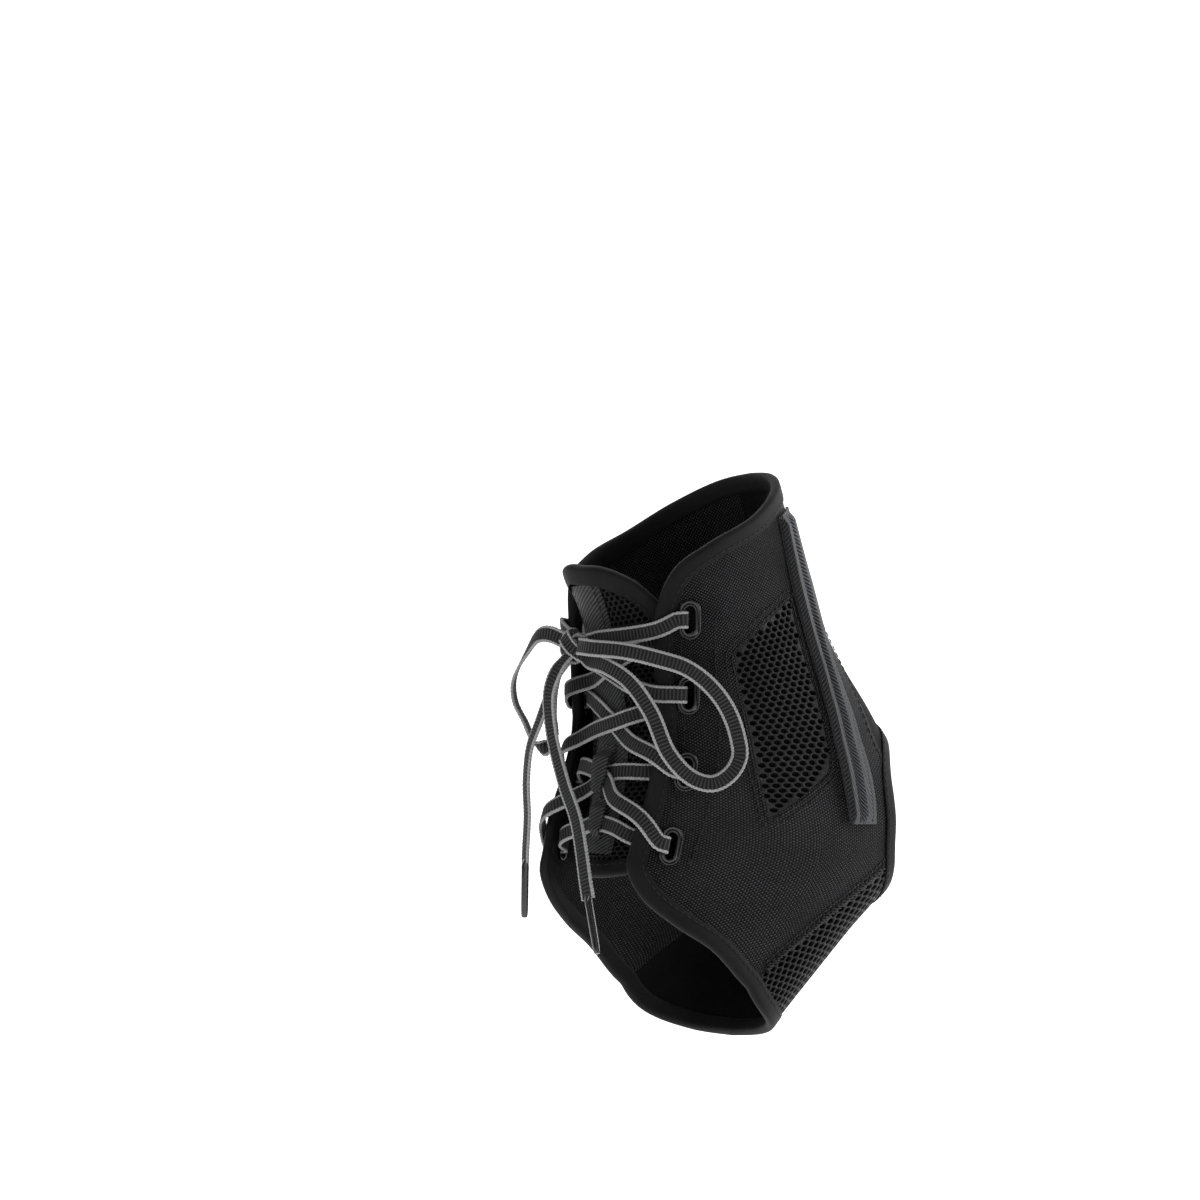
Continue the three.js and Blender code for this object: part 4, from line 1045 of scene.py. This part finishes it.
# Each band's way through the knot, and its share of the lace's width
KNOT_BANDS = [
    ([(-3.8, 3.2, 2.2), (-1.8, 3.7, 3.5), (1.0, 2.4, 4.5), (3.6, -0.4, 4.0), (5.3, -2.6, 2.2),
      (6.2, -3.6, 0.8)], 0.85),
    ([(-5.4, 1.6, 0.6), (-3.2, 1.9, 2.2), (0.2, 1.2, 2.6), (3.2, -0.6, 2.0), (5.6, -2.0, 0.2)], 0.75),
    ([(5.7, 1.4, -0.2), (3.4, 1.8, 1.2), (0, 0.3, 1.4), (-3.0, -1.8, 1.4), (-4.8, -2.8, 0.2)], 0.75),
    ([(-5.9, 0.2, -1.2), (-3, 0.8, -2.6), (0, 0.6, -3.0), (3, 0.2, -2.6), (5.9, 0.0, -1.2)], 0.9),
    ([(0.8, 4.4, -1.0), (1.6, 2.2, -1.8), (1.2, 0, -2.2), (-0.4, -2.4, -1.6), (-1.6, -4.6, 0.4)], 0.7),
]


def knot():
    """The bow's knot: a slanting wrap round it, and five bands that run through and over it."""
    points = []
    for a in np.linspace(0, 2 * math.pi * 0.98, KNOT_WRAP_STEPS):
        y, z = KNOT_WRAP[0] * math.cos(a), KNOT_WRAP[1] * math.sin(a)
        points.append(in_knot(-2.0 + y * KNOT_TILT, y, z))
    side = in_knot(1, -KNOT_TILT, 0) - in_knot(0, 0, 0)
    parts = [ribbon(points, np.tile(side, (KNOT_WRAP_STEPS, 1)), -0.35, 0.95)]
    for way, width in KNOT_BANDS:
        points = spaced([in_knot(*p) for p in way], 36)
        sides = unit(np.cross(points - knot_origin, np.gradient(points, axis=0)))
        parts.append(ribbon(points, soften(sides, 4), -0.25, width))
    make("lace_knot_fine", *join(parts), lace, "lace", ["lace_knot"], sharp=60)


for name, ends, length, chosen, faces in FREE_LACES:
    free_lace(name, ends, chosen, faces)
for name, start_at, end_at, way in LACE_RUNS:
    lace_run(name, start_at, end_at, way)
knot()


# Stitches
# A stitch's section along it: place in its length, share of its radius, rise
STITCH = np.array([
    (-0.5, 0.25, -0.16), (-0.4, 0.85, -0.03), (-0.15, 1.05, 0.05), (0.15, 1.05, 0.05),
    (0.4, 0.85, -0.03), (0.5, 0.25, -0.16),
])


def stitch_bodies(points, outs, pitch=STITCH_PITCH, length=2.1, radius=0.21, sink=0.06):
    """Short rounded threads along a line of points."""
    points, outs = evenly(points, outs, 0.3)
    far = travelled(points)
    count = int(far[-1] // pitch)
    angles = np.arange(6) * math.pi / 3
    parts = []
    for middle in (np.arange(count) + 0.5) * far[-1] / max(count, 1):
        want = np.clip(middle + STITCH[:, 0] * length, 0, far[-1])
        p = columns_at(want, far, points)
        o = columns_at(want, far, outs)
        side = np.cross(o[2], unit(p[-1] - p[0]))
        rings = []
        for k, (_, size, rise) in enumerate(STITCH):
            centre = p[k] + o[k] * (rise - sink)
            ring = np.cos(angles)[:, None] * side + np.sin(angles)[:, None] * o[k]
            rings.append(centre + radius * size * ring)
        parts.append(swept(rings, False, np.append(angles, 2 * math.pi) * radius, want))
    return parts


def on_line(places, lift, surface=flared):
    return place(*places.T, lift_at(lift, places), surface), outward(places, surface)


def sew(name, lines, slot, **kinds):
    parts = [part for points, outs in lines for part in stitch_bodies(points, outs, **kinds)]
    return make(name, *join(parts), thread, slot, sharp=80)


# Cloth
def wave(station, turn, seed):
    """Slow unevenness of worn cloth, from -1 to 1."""
    return (
        np.sin(station * 2.3 + seed) * np.sin(turn * 0.071 + seed * 1.7)
        + 0.6 * np.sin(station * 4.1 - turn * 0.05 + seed * 2.1)
        + 0.4 * np.sin(station * 1.3 + turn * 0.13 + seed)
    ) / 2


def pull(station, turn, side):
    """The cloth rises a little round each eyelet, where the lace draws on it."""
    total = np.zeros(len(station))
    for index in range(len(EYELETS)):
        here = eyelet_place(index, side)[0]
        away = np.hypot((station - here[0]) * FLAT_STATION, (turn - here[1]) * FLAT_TURN)
        total += 0.35 * np.exp(-((away - 11) / 5) ** 2)
    return total


def outer_area(points, faces, count):
    """The area of the outer face, in square metres. Its points are the first ones."""
    p = np.asarray(points)[:count]
    total = 0.0
    for f in faces:
        if len(f) == 3 and max(f) < count:
            total += np.linalg.norm(np.cross(p[f[1]] - p[f[0]], p[f[2]] - p[f[0]])) / 2
    return total * MM * MM


def cloth(name, node, cut, low, high, material, slot, sharp, surface=flared, sink=0.0):
    """A piece of cloth laid on the form, with its flat cut and its body."""
    body = slab(cut, low, high, surface, sink)
    return make(name, *body, material, slot, [node], sharp=sharp), cut, body


def declare(sheet):
    """The area of a sewn-in sheet's outer face, which is not kept."""
    piece, cut, body = sheet
    outer_area(body[0], body[1], len(cut[0]))


sheets = []  # each sheet of cloth, and the pieces that it carries


def eyelet_hole(index, side):
    """The loop of places where the cloth is cut out for an eyelet."""
    x, y = eyelet_frame(index, side)[1:3]
    r = HOLE_WIDTH / 2 + EYELET_WALL + 0.15
    angles = np.linspace(0, 2 * math.pi, 24, endpoint=False)
    half = (HOLE_LENGTH - HOLE_WIDTH) / 2
    cx, cy = np.cos(angles) * r, np.sin(angles) * r + np.sign(np.sin(angles)) * half
    ways = x[None] * cx[:, None] + y[None] * cy[:, None]
    size = np.linalg.norm(ways, axis=1)
    return walk(np.repeat(eyelet_place(index, side), len(angles), 0), ways / size[:, None], size)


def side_panel(side, name, handed):
    beyond = handed(np.array([[8.6, 200], [0.5, 200.0]]))
    edge = inward(np.vstack([handed(left_edge), beyond]), CLOTH_INSET)
    seams = np.vstack([smooth(GUSSET_SEAM, 80, False), smooth(SOLE_SEAM, 60, False)])
    region = np.vstack([seams, [[8.9, 10], [0.3, 10]]])
    heel = inward(heel_edge, -CLOTH_INSET) - np.array([0, 0 if side > 0 else 360.0])
    without = [heel, handed(round_window(0))] + [eyelet_hole(k, side) for k in range(len(EYELETS))]
    cut = flat_cut([flat(edge), flat(handed(region))], [flat(loop) for loop in without], PANEL_CELL)

    def high(station, turn):
        slow = 0.22 * wave(station, turn, side) * ease(1.0, 2.2, station)
        return CLOTH - 0.1 + slow + pull(station, turn, side)

    node = f"side_panel_{name}"
    sheets.append((cloth(node + "_cloth", node, cut, 0.0, high, woven, "woven_cloth", 35), ()))


def round_window(distance):
    """The mesh window's outline with its corners a little rounded, moved inward by a distance."""
    points = np.array(MESH_WINDOW, float)
    shares = np.linspace(0, 1, 12, endpoint=False)
    after = np.roll(points, -1, 0)
    loop = np.array([a + (b - a) * share for a, b in zip(points, after) for share in shares])
    for _ in range(2):
        loop = (np.roll(loop, 1, 0) + 2 * loop + np.roll(loop, -1, 0)) / 4
    return inward(loop, distance) if distance else loop


def spacer(name, within, without, holes, radius, rim, lifts, sink):
    """Spacer mesh: a net with its holes cut through, over a plain lining."""
    cut = flat_cut(within, without, None, holes, radius, rim)
    upper = cloth(name + "_net", name, cut, *lifts[1], net, "spacer_mesh", 75, sink=sink)
    cut = flat_cut(within, without, LINING_CELL)
    backing = cloth(name + "_lining", name, cut, *lifts[0], lining, "spacer_mesh", 60)
    sheets.append((backing, [upper[0]]))


for side, name, handed in SIDES:
    side_panel(side, name, handed)
for side, name, handed in SIDES:
    loop = flat(handed(round_window(0.15)))
    lifts = ((0.1, 0.55), (0.75, 1.75))
    spacer(f"mesh_insert_{name}", [loop], [], WINDOW_HOLES, 1.08, 0.2, lifts, 0.25)
    # The turned and stitched edge round the window
    rows = [handed(inward(round_window(0), distance)) for distance in (-1.0, -3.4)]
    lines = [on_line(np.vstack([row, row[:1]]), CLOTH + 0.14) for row in rows]
    sew(f"window_stitches_{name}", lines, "woven_cloth")


# Gusset and sole
def joining(seam, steps):
    line = smooth(seam, steps, False)
    return np.vstack([line, through_back(line)])


edge_loop = flat(inward(whole_edge, CLOTH_INSET))
heel_loop = flat(inward(heel_edge, -CLOTH_INSET))
cut = flat_cut([flat(joining(GUSSET_SEAM, 80)), edge_loop], [heel_loop], PANEL_CELL)
gusset = cloth("heel_gusset_cloth", "heel_gusset", cut, 0.0,
               lambda s, t: CLOTH - 0.15 + 0.25 * wave(s, t, 3), gusset_weave, "woven_cloth", 35)
sheets.append((gusset, ()))
spacer("sole_mesh", [flat(joining(SOLE_SEAM, 60)), edge_loop], [heel_loop], SOLE_HOLES, 1.12, 0.22,
       ((0.0, 0.6), (0.85, CLOTH)), 0.3)


# Edge tape
def tape_section(width, low, high):
    """A folded tape's section as (distance in from the fold, lift), with a rolled edge."""
    top = high + 0.75
    below = low - 0.75
    middle = (low + high) / 2
    half = (top - below) / 2
    points = [(width - 0.05, high + 0.05), (width + 0.12, high + 0.3), (width - 0.1, high + 0.56)]
    points += [(width - 1.3, high + 0.5), (width - 2.6, top - 0.05), (width * 0.45, top), (1.9, top)]
    for degrees in (75, 55, 35, 15, -15, -35, -55, -75):
        a = math.radians(degrees)
        points.append((1.5 - 1.5 * math.cos(a), middle + half * math.sin(a)))
    points += [(1.9, below), (width * 0.45, below), (width - 2.6, below + 0.05), (width - 1.3, low - 0.5)]
    points += [(width - 0.1, low - 0.56), (width + 0.12, low - 0.3), (width - 0.05, low - 0.05)]
    points += [(2.2, low - 0.1), (1.3, middle - 0.4), (1.3, middle + 0.4), (2.2, high + 0.1)]
    return np.array(points)


def folded_tape(line, section_at_place, closed=True, surface=flared):
    """A body of tape folded over the edge along a line of places. The cloth is on its left."""
    way = unit(np.cross(outward(line, surface), heading(line, surface, closed)))
    base = surface(*line.T)
    far = travelled(base)
    far = np.append(far, far[-1] + (np.linalg.norm(base[0] - base[-1]) if closed else 0))
    sections = np.array([section_at_place(*p) for p in line])
    width = sections[:, :, 0].max(1)
    pucker = 0.07 * np.sin(far[:len(line)] * 2 * math.pi / STITCH_PITCH)
    rings = np.empty((*sections.shape[:2], 3))
    for j in range(sections.shape[1]):
        distance, lift = sections[:, j].T
        lift = lift + pucker * np.exp(-((distance - width + STITCH_INSET) / 1.2) ** 2)
        reach = np.maximum(np.abs(distance), 1e-3)
        there = walk(line, way * np.sign(distance + 1e-9)[:, None], reach, surface)
        rings[:, j] = place(*there.T, lift, surface)
    around = travelled(np.vstack([sections[0], sections[0][:1]]))
    return swept(rings, closed, around, far)


for name, node, loop, width, keep_inside in (
    ("edge_binding_tape", "edge_binding", whole_edge, BINDING_WIDTH, True),
    ("heel_binding_tape", "heel_binding", heel_edge, HEEL_BINDING_WIDTH, False),
):
    loop = loop if turns_left(loop) == keep_inside else loop[::-1]
    section = tape_section(width, 0.0, CLOTH)
    make(name, *folded_tape(loop, lambda s, t: section), edge_tape, "edge_tape", [node], sharp=60)
    row = inset(loop, width - STITCH_INSET)
    sew(name + "_stitches", [on_line(np.vstack([row, row[:1]]), CLOTH + 0.56)], "edge_tape")


# Stay pockets
POCKET_TOP, POCKET_BOTTOM = STAY_POCKET[0, 0], STAY_POCKET[-1, 0]


def pocket_turn(station, share):
    """The turn at a share of the pocket's width, from its front edge to its rear one."""
    front, rear = (np.interp(station, STAY_POCKET[:, 0], STAY_POCKET[:, k]) for k in (1, 2))
    return mix(front, rear, share)


def pocket_high(station, across):
    rib = np.max([1 - np.abs(across - middle) / (width / 2) for middle, width in STAYS], 0)
    ends = ease(POCKET_TOP, POCKET_TOP + 0.15, station)
    ends = ends * (1 - ease(POCKET_BOTTOM - 0.15, POCKET_BOTTOM, station))
    groove = sum(np.exp(-((across - share) / 0.03) ** 2) for share in POCKET_GROOVES)
    body = 0.25 + (POCKET - 0.25) * ease(0, 0.09, across) * (1 - ease(0.93, 1.0, across))
    return CLOTH + 0.15 + body + STAY_RISE * ends * ease(0, 0.55, rib) - 0.35 * groove * ends


def stay_pocket(side, name):
    stations = np.linspace(POCKET_TOP, POCKET_BOTTOM, 92)
    upper = np.concatenate([[0], np.linspace(0.012, 0.988, 54), [1]])
    rings = []
    for station in stations:
        turn = side * pocket_turn(station, upper)
        lift = pocket_high(station, upper)
        lift[0] = lift[-1] = CLOTH + 0.2
        rings.append(np.vstack([place(station, turn, lift), place(station, turn, CLOTH + 0.12)[::-1]]))
    front, rear = (pocket_turn(stations, share) for share in (0, 1))
    far = travelled(place(stations, side * (front + rear) / 2, 0))
    across = np.concatenate([upper * POCKET_WIDTH, upper[::-1] * POCKET_WIDTH, [0]])
    body = swept(rings, False, across, far)
    node = f"stay_pocket_{name}"
    make(node + "_tape", *body, stay_tape, "twill_tape", [node], sharp=50)
    lines = []
    for share in (0.035, *POCKET_GROOVES, 0.965):
        places = np.stack([stations, side * pocket_turn(stations, share)], 1)
        lines.append(on_line(places, pocket_high(stations, np.full(len(stations), share)) - 0.03))
    sew(node + "_stitches", lines, "twill_tape", radius=0.17)


for side, name, handed in SIDES:
    stay_pocket(side, name)


# Eyelets
def eyelet(index, side, name):
    """A pressed oval eyelet: a rolled outer flange with a groove inside it, and a barrel."""
    origin, x, y, out = eyelet_frame(index, side)
    half = (HOLE_LENGTH - HOLE_WIDTH) / 2
    r = HOLE_WIDTH / 2
    outer = r + EYELET_WALL + EYELET_FLANGE
    seat = EYELET_SEAT - 0.3
    top = EYELET_TOP
    profile = [
        (r + EYELET_WALL, -EYELET_BELOW), (r + 0.1, -EYELET_BELOW), (r, -EYELET_BELOW + 0.2), (r, top - 0.6),
        (r + 0.08, top - 0.3), (r + 0.3, top - 0.12), (r + 0.6, top - 0.1), (r + 0.85, top - 0.3),
        (r + 1.05, top - 0.34), (r + 1.25, top - 0.2), (outer - 0.5, top), (outer - 0.25, top - 0.02),
        (outer - 0.06, top - 0.2), (outer, top - 0.5), (outer - 0.05, seat), (outer - 0.4, seat - 0.1),
        (r + EYELET_WALL, seat - 0.05),
    ]
    angles = np.concatenate([np.linspace(0, math.pi, 15), np.linspace(math.pi, 2 * math.pi, 15)])
    rings = []
    for k, a in enumerate(angles):
        s = half if k < 15 else -half
        rings.append([
            origin + x * math.cos(a) * d + y * (math.sin(a) * d + s) + out * z for d, z in profile
        ])
    far = np.concatenate([angles[:15] * r, angles[15:] * r + 2 * half, [2 * math.pi * r + 4 * half]])
    body = swept(rings, True, np.arange(len(profile) + 1) * 0.6, far)
    make(name + "_rim", *body, eyelet_paint, "eyelet_metal", [name], sharp=45)


for side, name, handed in SIDES:
    for index in range(len(EYELETS)):
        eyelet(index, side, f"eyelet_{name}_{index + 1}")


# Tongue
def tongue_lift(station, turn=0.0):
    side = ease(62, 69, np.abs(turn))
    below = np.clip((TONGUE_TOP_TO - station) / (TONGUE_TOP_TO - TONGUE_TOP_FROM), 0, 1)
    top = below ** 2 * (1 - ease(26, 46, np.abs(turn)))
    return TONGUE_TOP_RISE * top - mix(TONGUE_DROP, TONGUE_UNDER_PANEL, side)


outline = np.array(both_sides(TONGUE_OUTLINE, 0), float)
outline[:, 0] -= TONGUE_TOP_LEAN * np.clip(-outline[:, 1] / 22, 0, 1) * (1 - ease(2, 4, outline[:, 0]))
tongue_edge = smooth(outline, 240, True)
tongue_loop = flat(inward(tongue_edge, TONGUE_FOLD + GAP, on_form))
cut = flat_cut([tongue_loop], [], None, TONGUE_HOLES, 1.14, 0.22)
cloth("tongue_net", "tongue", cut, lambda s, t: tongue_lift(s, t) - 0.9, tongue_lift,
      net, "padded_mesh", 75, on_form, 0.3)
cut = flat_cut([tongue_loop], [], 2.6)
pad = cloth("tongue_pad", "tongue", cut, lambda s, t: tongue_lift(s, t) - TONGUE_THICKNESS,
            lambda s, t: tongue_lift(s, t) - 1.0 - 0.2 * np.abs(wave(s, t, 5)),
            lining, "padded_mesh", 50, on_form)


def tongue_span(start, end):
    """The part of the tongue's edge between two stations, from right to left."""
    station, turn = tongue_edge.T
    near = tongue_edge[(station >= start) & (station < end) & (np.abs(turn) < TONGUE_TAPE_TURN)]
    return near[np.argsort(near[:, 1])]


def tongue_section(width):
    base = tape_section(width, -TONGUE_THICKNESS, 0.0)
    base[:, 0] = np.where(base[:, 0] < 1.6, base[:, 0] * 0.8, base[:, 0])
    return lambda station, turn: base + np.array([0, tongue_lift(station, turn)])


for name, node, line, width in (
    ("tongue_top_tape", "tongue_binding_top", tongue_span(0, 3)[::-1], TONGUE_BINDING_WIDTH),
    ("tongue_hem_tape", "tongue_binding_bottom", tongue_span(5, 8), TONGUE_HEM_WIDTH),
):
    body = folded_tape(line, tongue_section(width), False, on_form)
    make(name, *body, edge_tape, "edge_tape", [node], sharp=60)
    row = inset(np.vstack([line, line[::-1]]), width - STITCH_INSET, on_form)[2:len(line) - 2]
    sew(name + "_stitches", [on_line(row, lambda s, t: tongue_lift(s, t) + 0.6, on_form)], "edge_tape")


def strap(line, half_at, low_at, thickness, crown=0.0):
    """A flat strap laid along a line of places on the form, as swept rings."""
    side = unit(np.cross(heading(line, on_form, False), outward(line, on_form)))
    low = low_at(line[:, 0])
    half = half_at(np.linspace(0, 1, len(line)))
    count = len(ACROSS)
    rings = np.empty((len(line), 2 * count, 3))
    for j, share in enumerate(ACROSS):
        bulge = crown * (1 - share ** 2)
        edge = abs(share) >= 0.96
        there = walk(line, side * np.sign(share + 1e-9), np.abs(share) * half + 1e-6, on_form)
        rings[:, j] = place(*there.T, low + (thickness + bulge) - (0.28 if edge else 0.0), on_form)
        rings[:, 2 * count - 1 - j] = place(*there.T, low + bulge - (-0.1 if edge else 0.0), on_form)
    across = np.concatenate([ACROSS, ACROSS[::-1], ACROSS[:1]]) * np.max(half)
    return swept(rings, False, across, travelled(on_form(*line.T)))


STRIP_GAP = 0.4
ACROSS = np.concatenate([[-1, -0.965], np.linspace(-0.93, 0.93, 15), [0.965, 1]])
strip_line = smooth(TONGUE_STRIP, 90, False)
body = strap(strip_line, lambda x: STRIP_HALF + 1.6 * (1 - ease(0.2, 0.45, x)),
             lambda s: tongue_lift(s) + STRIP_GAP - 0.15, STRIP_THICKNESS)
make("tongue_strip_tape", *body, strip_tape, "ribbed_tape", ["tongue_strip"], sharp=50)
strip_side = unit(np.cross(np.gradient(on_form(*strip_line.T), axis=0), outward(strip_line, on_form)))
rows = [walk(strip_line, strip_side * way, 0.86 * STRIP_HALF, on_form) for way in (-1, 1)]
STRIP_TOP = STRIP_GAP + STRIP_THICKNESS - 0.15
lines = [on_line(row, lambda s, t: tongue_lift(s) + STRIP_TOP + 0.05, on_form) for row in rows]
sew("tongue_strip_stitches", lines, "ribbed_tape")

KEEPER_REST = STRIP_GAP + STRIP_THICKNESS - TONGUE_DROP + GAP
for name, node, start, end, rise, rise_start, rise_end in KEEPERS:
    line = np.stack([np.linspace(start, end, 60), np.full(60, KEEPER_TURN)], 1)

    def keeper_low(station):
        up_part = ease(start + 0.04, rise_start, station)
        return KEEPER_REST - 0.25 + rise * up_part * (1 - ease(rise_end, end - 0.01, station))

    def keeper_half(share):
        return KEEPER_WIDTH / 2 * mix(1, KEEPER_WAIST, ease(0.45, 0.9, share))

    body = strap(line, keeper_half, keeper_low, KEEPER_THICKNESS, crown=0.1)
    make(name + "_tape", *body, strip_tape, "ribbed_tape", [node], sharp=50)

# Seams on the panels
whole_flat = flat(whole_edge)


def on_cloth(places, margin=8.0):
    """The places that lie inside the whole edge by a margin."""
    turned = places.copy()
    turned[:, 1] = np.where(turned[:, 1] < -20, turned[:, 1] + 360, turned[:, 1])
    spots = flat(turned)
    return places[inside(spots, whole_flat) & (away_from(spots, whole_flat) > margin)]


for side, name, handed in SIDES:
    # Two rows beside the front edge, inside and outside the eyelets
    front = handed(np.array([p for p in left_edge if 1.5 < p[0] < 6.9 and p[1] < 62]))
    way = unit(np.cross(outward(front), np.gradient(flared(*front.T), axis=0)) * side)
    rows = [walk(front, way, distance) for distance in FRONT_ROWS]
    # Rows beside the seams of the sole and the gusset
    for seam, shifts in ((smooth(SOLE_SEAM, 90, False)[:80], SOLE_ROWS),
                         (smooth(GUSSET_SEAM, 90, False)[12:84], GUSSET_ROWS)):
        rows += [on_cloth(handed(seam + np.array([0, shift]))) for shift in shifts]
    sew(f"panel_stitches_{name}", [on_line(row, CLOTH + 0.16) for row in rows], "woven_cloth")

# Overlocked thread across the seam between panel and sole mesh
for side, name, handed in SIDES:
    seam = smooth(SOLE_SEAM, 150, False)
    zigzag = seam + np.stack([np.zeros(len(seam)), np.where(np.arange(len(seam)) % 2 == 0, 2.0, -2.0)], 1)
    zigzag = on_cloth(handed(zigzag[(zigzag[:, 0] > 6.1) & (zigzag[:, 0] < 8.05)]), 7.0)
    points, outs = on_line(zigzag, CLOTH + 0.2)
    parts = []
    for a, b, o, o2 in zip(points[:-1], points[1:], outs[:-1], outs[1:]):
        size = np.linalg.norm(b - a)
        parts += stitch_bodies([a, (a + b) / 2, b], [o, o, o2], size * 0.999, size * 0.98, 0.2)
    make(f"overlock_{name}", *join(parts), thread, "woven_cloth", sharp=80)

for sheet, carried in sheets:
    declare(sheet)

# Floor, backdrop and light
FLOOR = -0.172


def backdrop():
    """A pale floor that curves up into a backdrop behind the brace."""
    behind = -back.copy()
    behind[2] = 0
    behind /= np.linalg.norm(behind)
    profile = [(-2.6, 0.0), (-1.0, 0.0), (0.9, 0.0)]
    for degrees in range(0, 91, 6):
        a = math.radians(degrees)
        profile.append((0.9 + 1.2 * math.sin(a), 1.2 - 1.2 * math.cos(a)))
    profile.append((2.1, 4.0))
    points = []
    for across in (-4.5, 4.5):
        for away, rise in profile:
            p = right * across + behind * away
            points.append((p[0], p[1], FLOOR + rise))
    count = len(profile)
    faces = [[i, i + 1, count + i + 1, count + i] for i in range(count - 1)]
    mesh = bpy.data.meshes.new("backdrop")
    mesh.from_pydata(points, [], faces)
    mesh.polygons.foreach_set("use_smooth", [True] * len(faces))
    material = bpy.data.materials.new("backdrop")
    material.use_nodes = True
    shader = material.node_tree.nodes["Principled BSDF"]
    shader.inputs["Base Color"].default_value = (0.93, 0.93, 0.93, 1)
    shader.inputs["Roughness"].default_value = 0.9
    shader.inputs["Emission Color"].default_value = (1, 1, 1, 1)
    shader.inputs["Emission Strength"].default_value = 0.95
    mesh.materials.append(material)
    linked("backdrop", mesh)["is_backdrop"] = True


def lamp(name, spot, size, power, aim=(-0.02, -0.03, -0.02)):
    data = bpy.data.lights.new(name, "AREA")
    data.shape = "RECTANGLE"
    data.size, data.size_y = size
    data.energy = power
    lamp_object = linked(name, data)
    lamp_object.location = spot
    way = Vector(aim) - Vector(spot)
    lamp_object.rotation_euler = way.to_track_quat("-Z", "Y").to_euler()


def studio(sideways, toward, rise):
    """A spot given to the right of the view, toward the camera, and up, in metres."""
    near = np.array([back[0], back[1], 0]) / math.hypot(back[0], back[1])
    p = right * sideways + near * toward
    return (p[0], p[1], rise)


backdrop()
lamp("key", studio(-0.9, 1.0, 0.9), (0.8, 0.8), 7.5)
lamp("top", studio(0.1, 0.0, 1.5), (1.2, 1.2), 4.8)
lamp("rim", studio(1.2, -0.25, 0.45), (0.35, 1.1), 12)
lamp("fill", studio(0.7, 1.3, 0.1), (0.8, 0.8), 1.5)
world = bpy.data.worlds.new("studio")
bpy.context.scene.world = world
world.use_nodes = True
world.node_tree.nodes["Background"].inputs["Color"].default_value = (1, 1, 1, 1)
world.node_tree.nodes["Background"].inputs["Strength"].default_value = 0.06
bpy.context.scene.view_settings.view_transform = "Standard"

boxes = {"cad": cad_bounds, "visual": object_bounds()}
rows = {key: [[float(v) for v in corner] for corner in pair] for key, pair in boxes.items()}
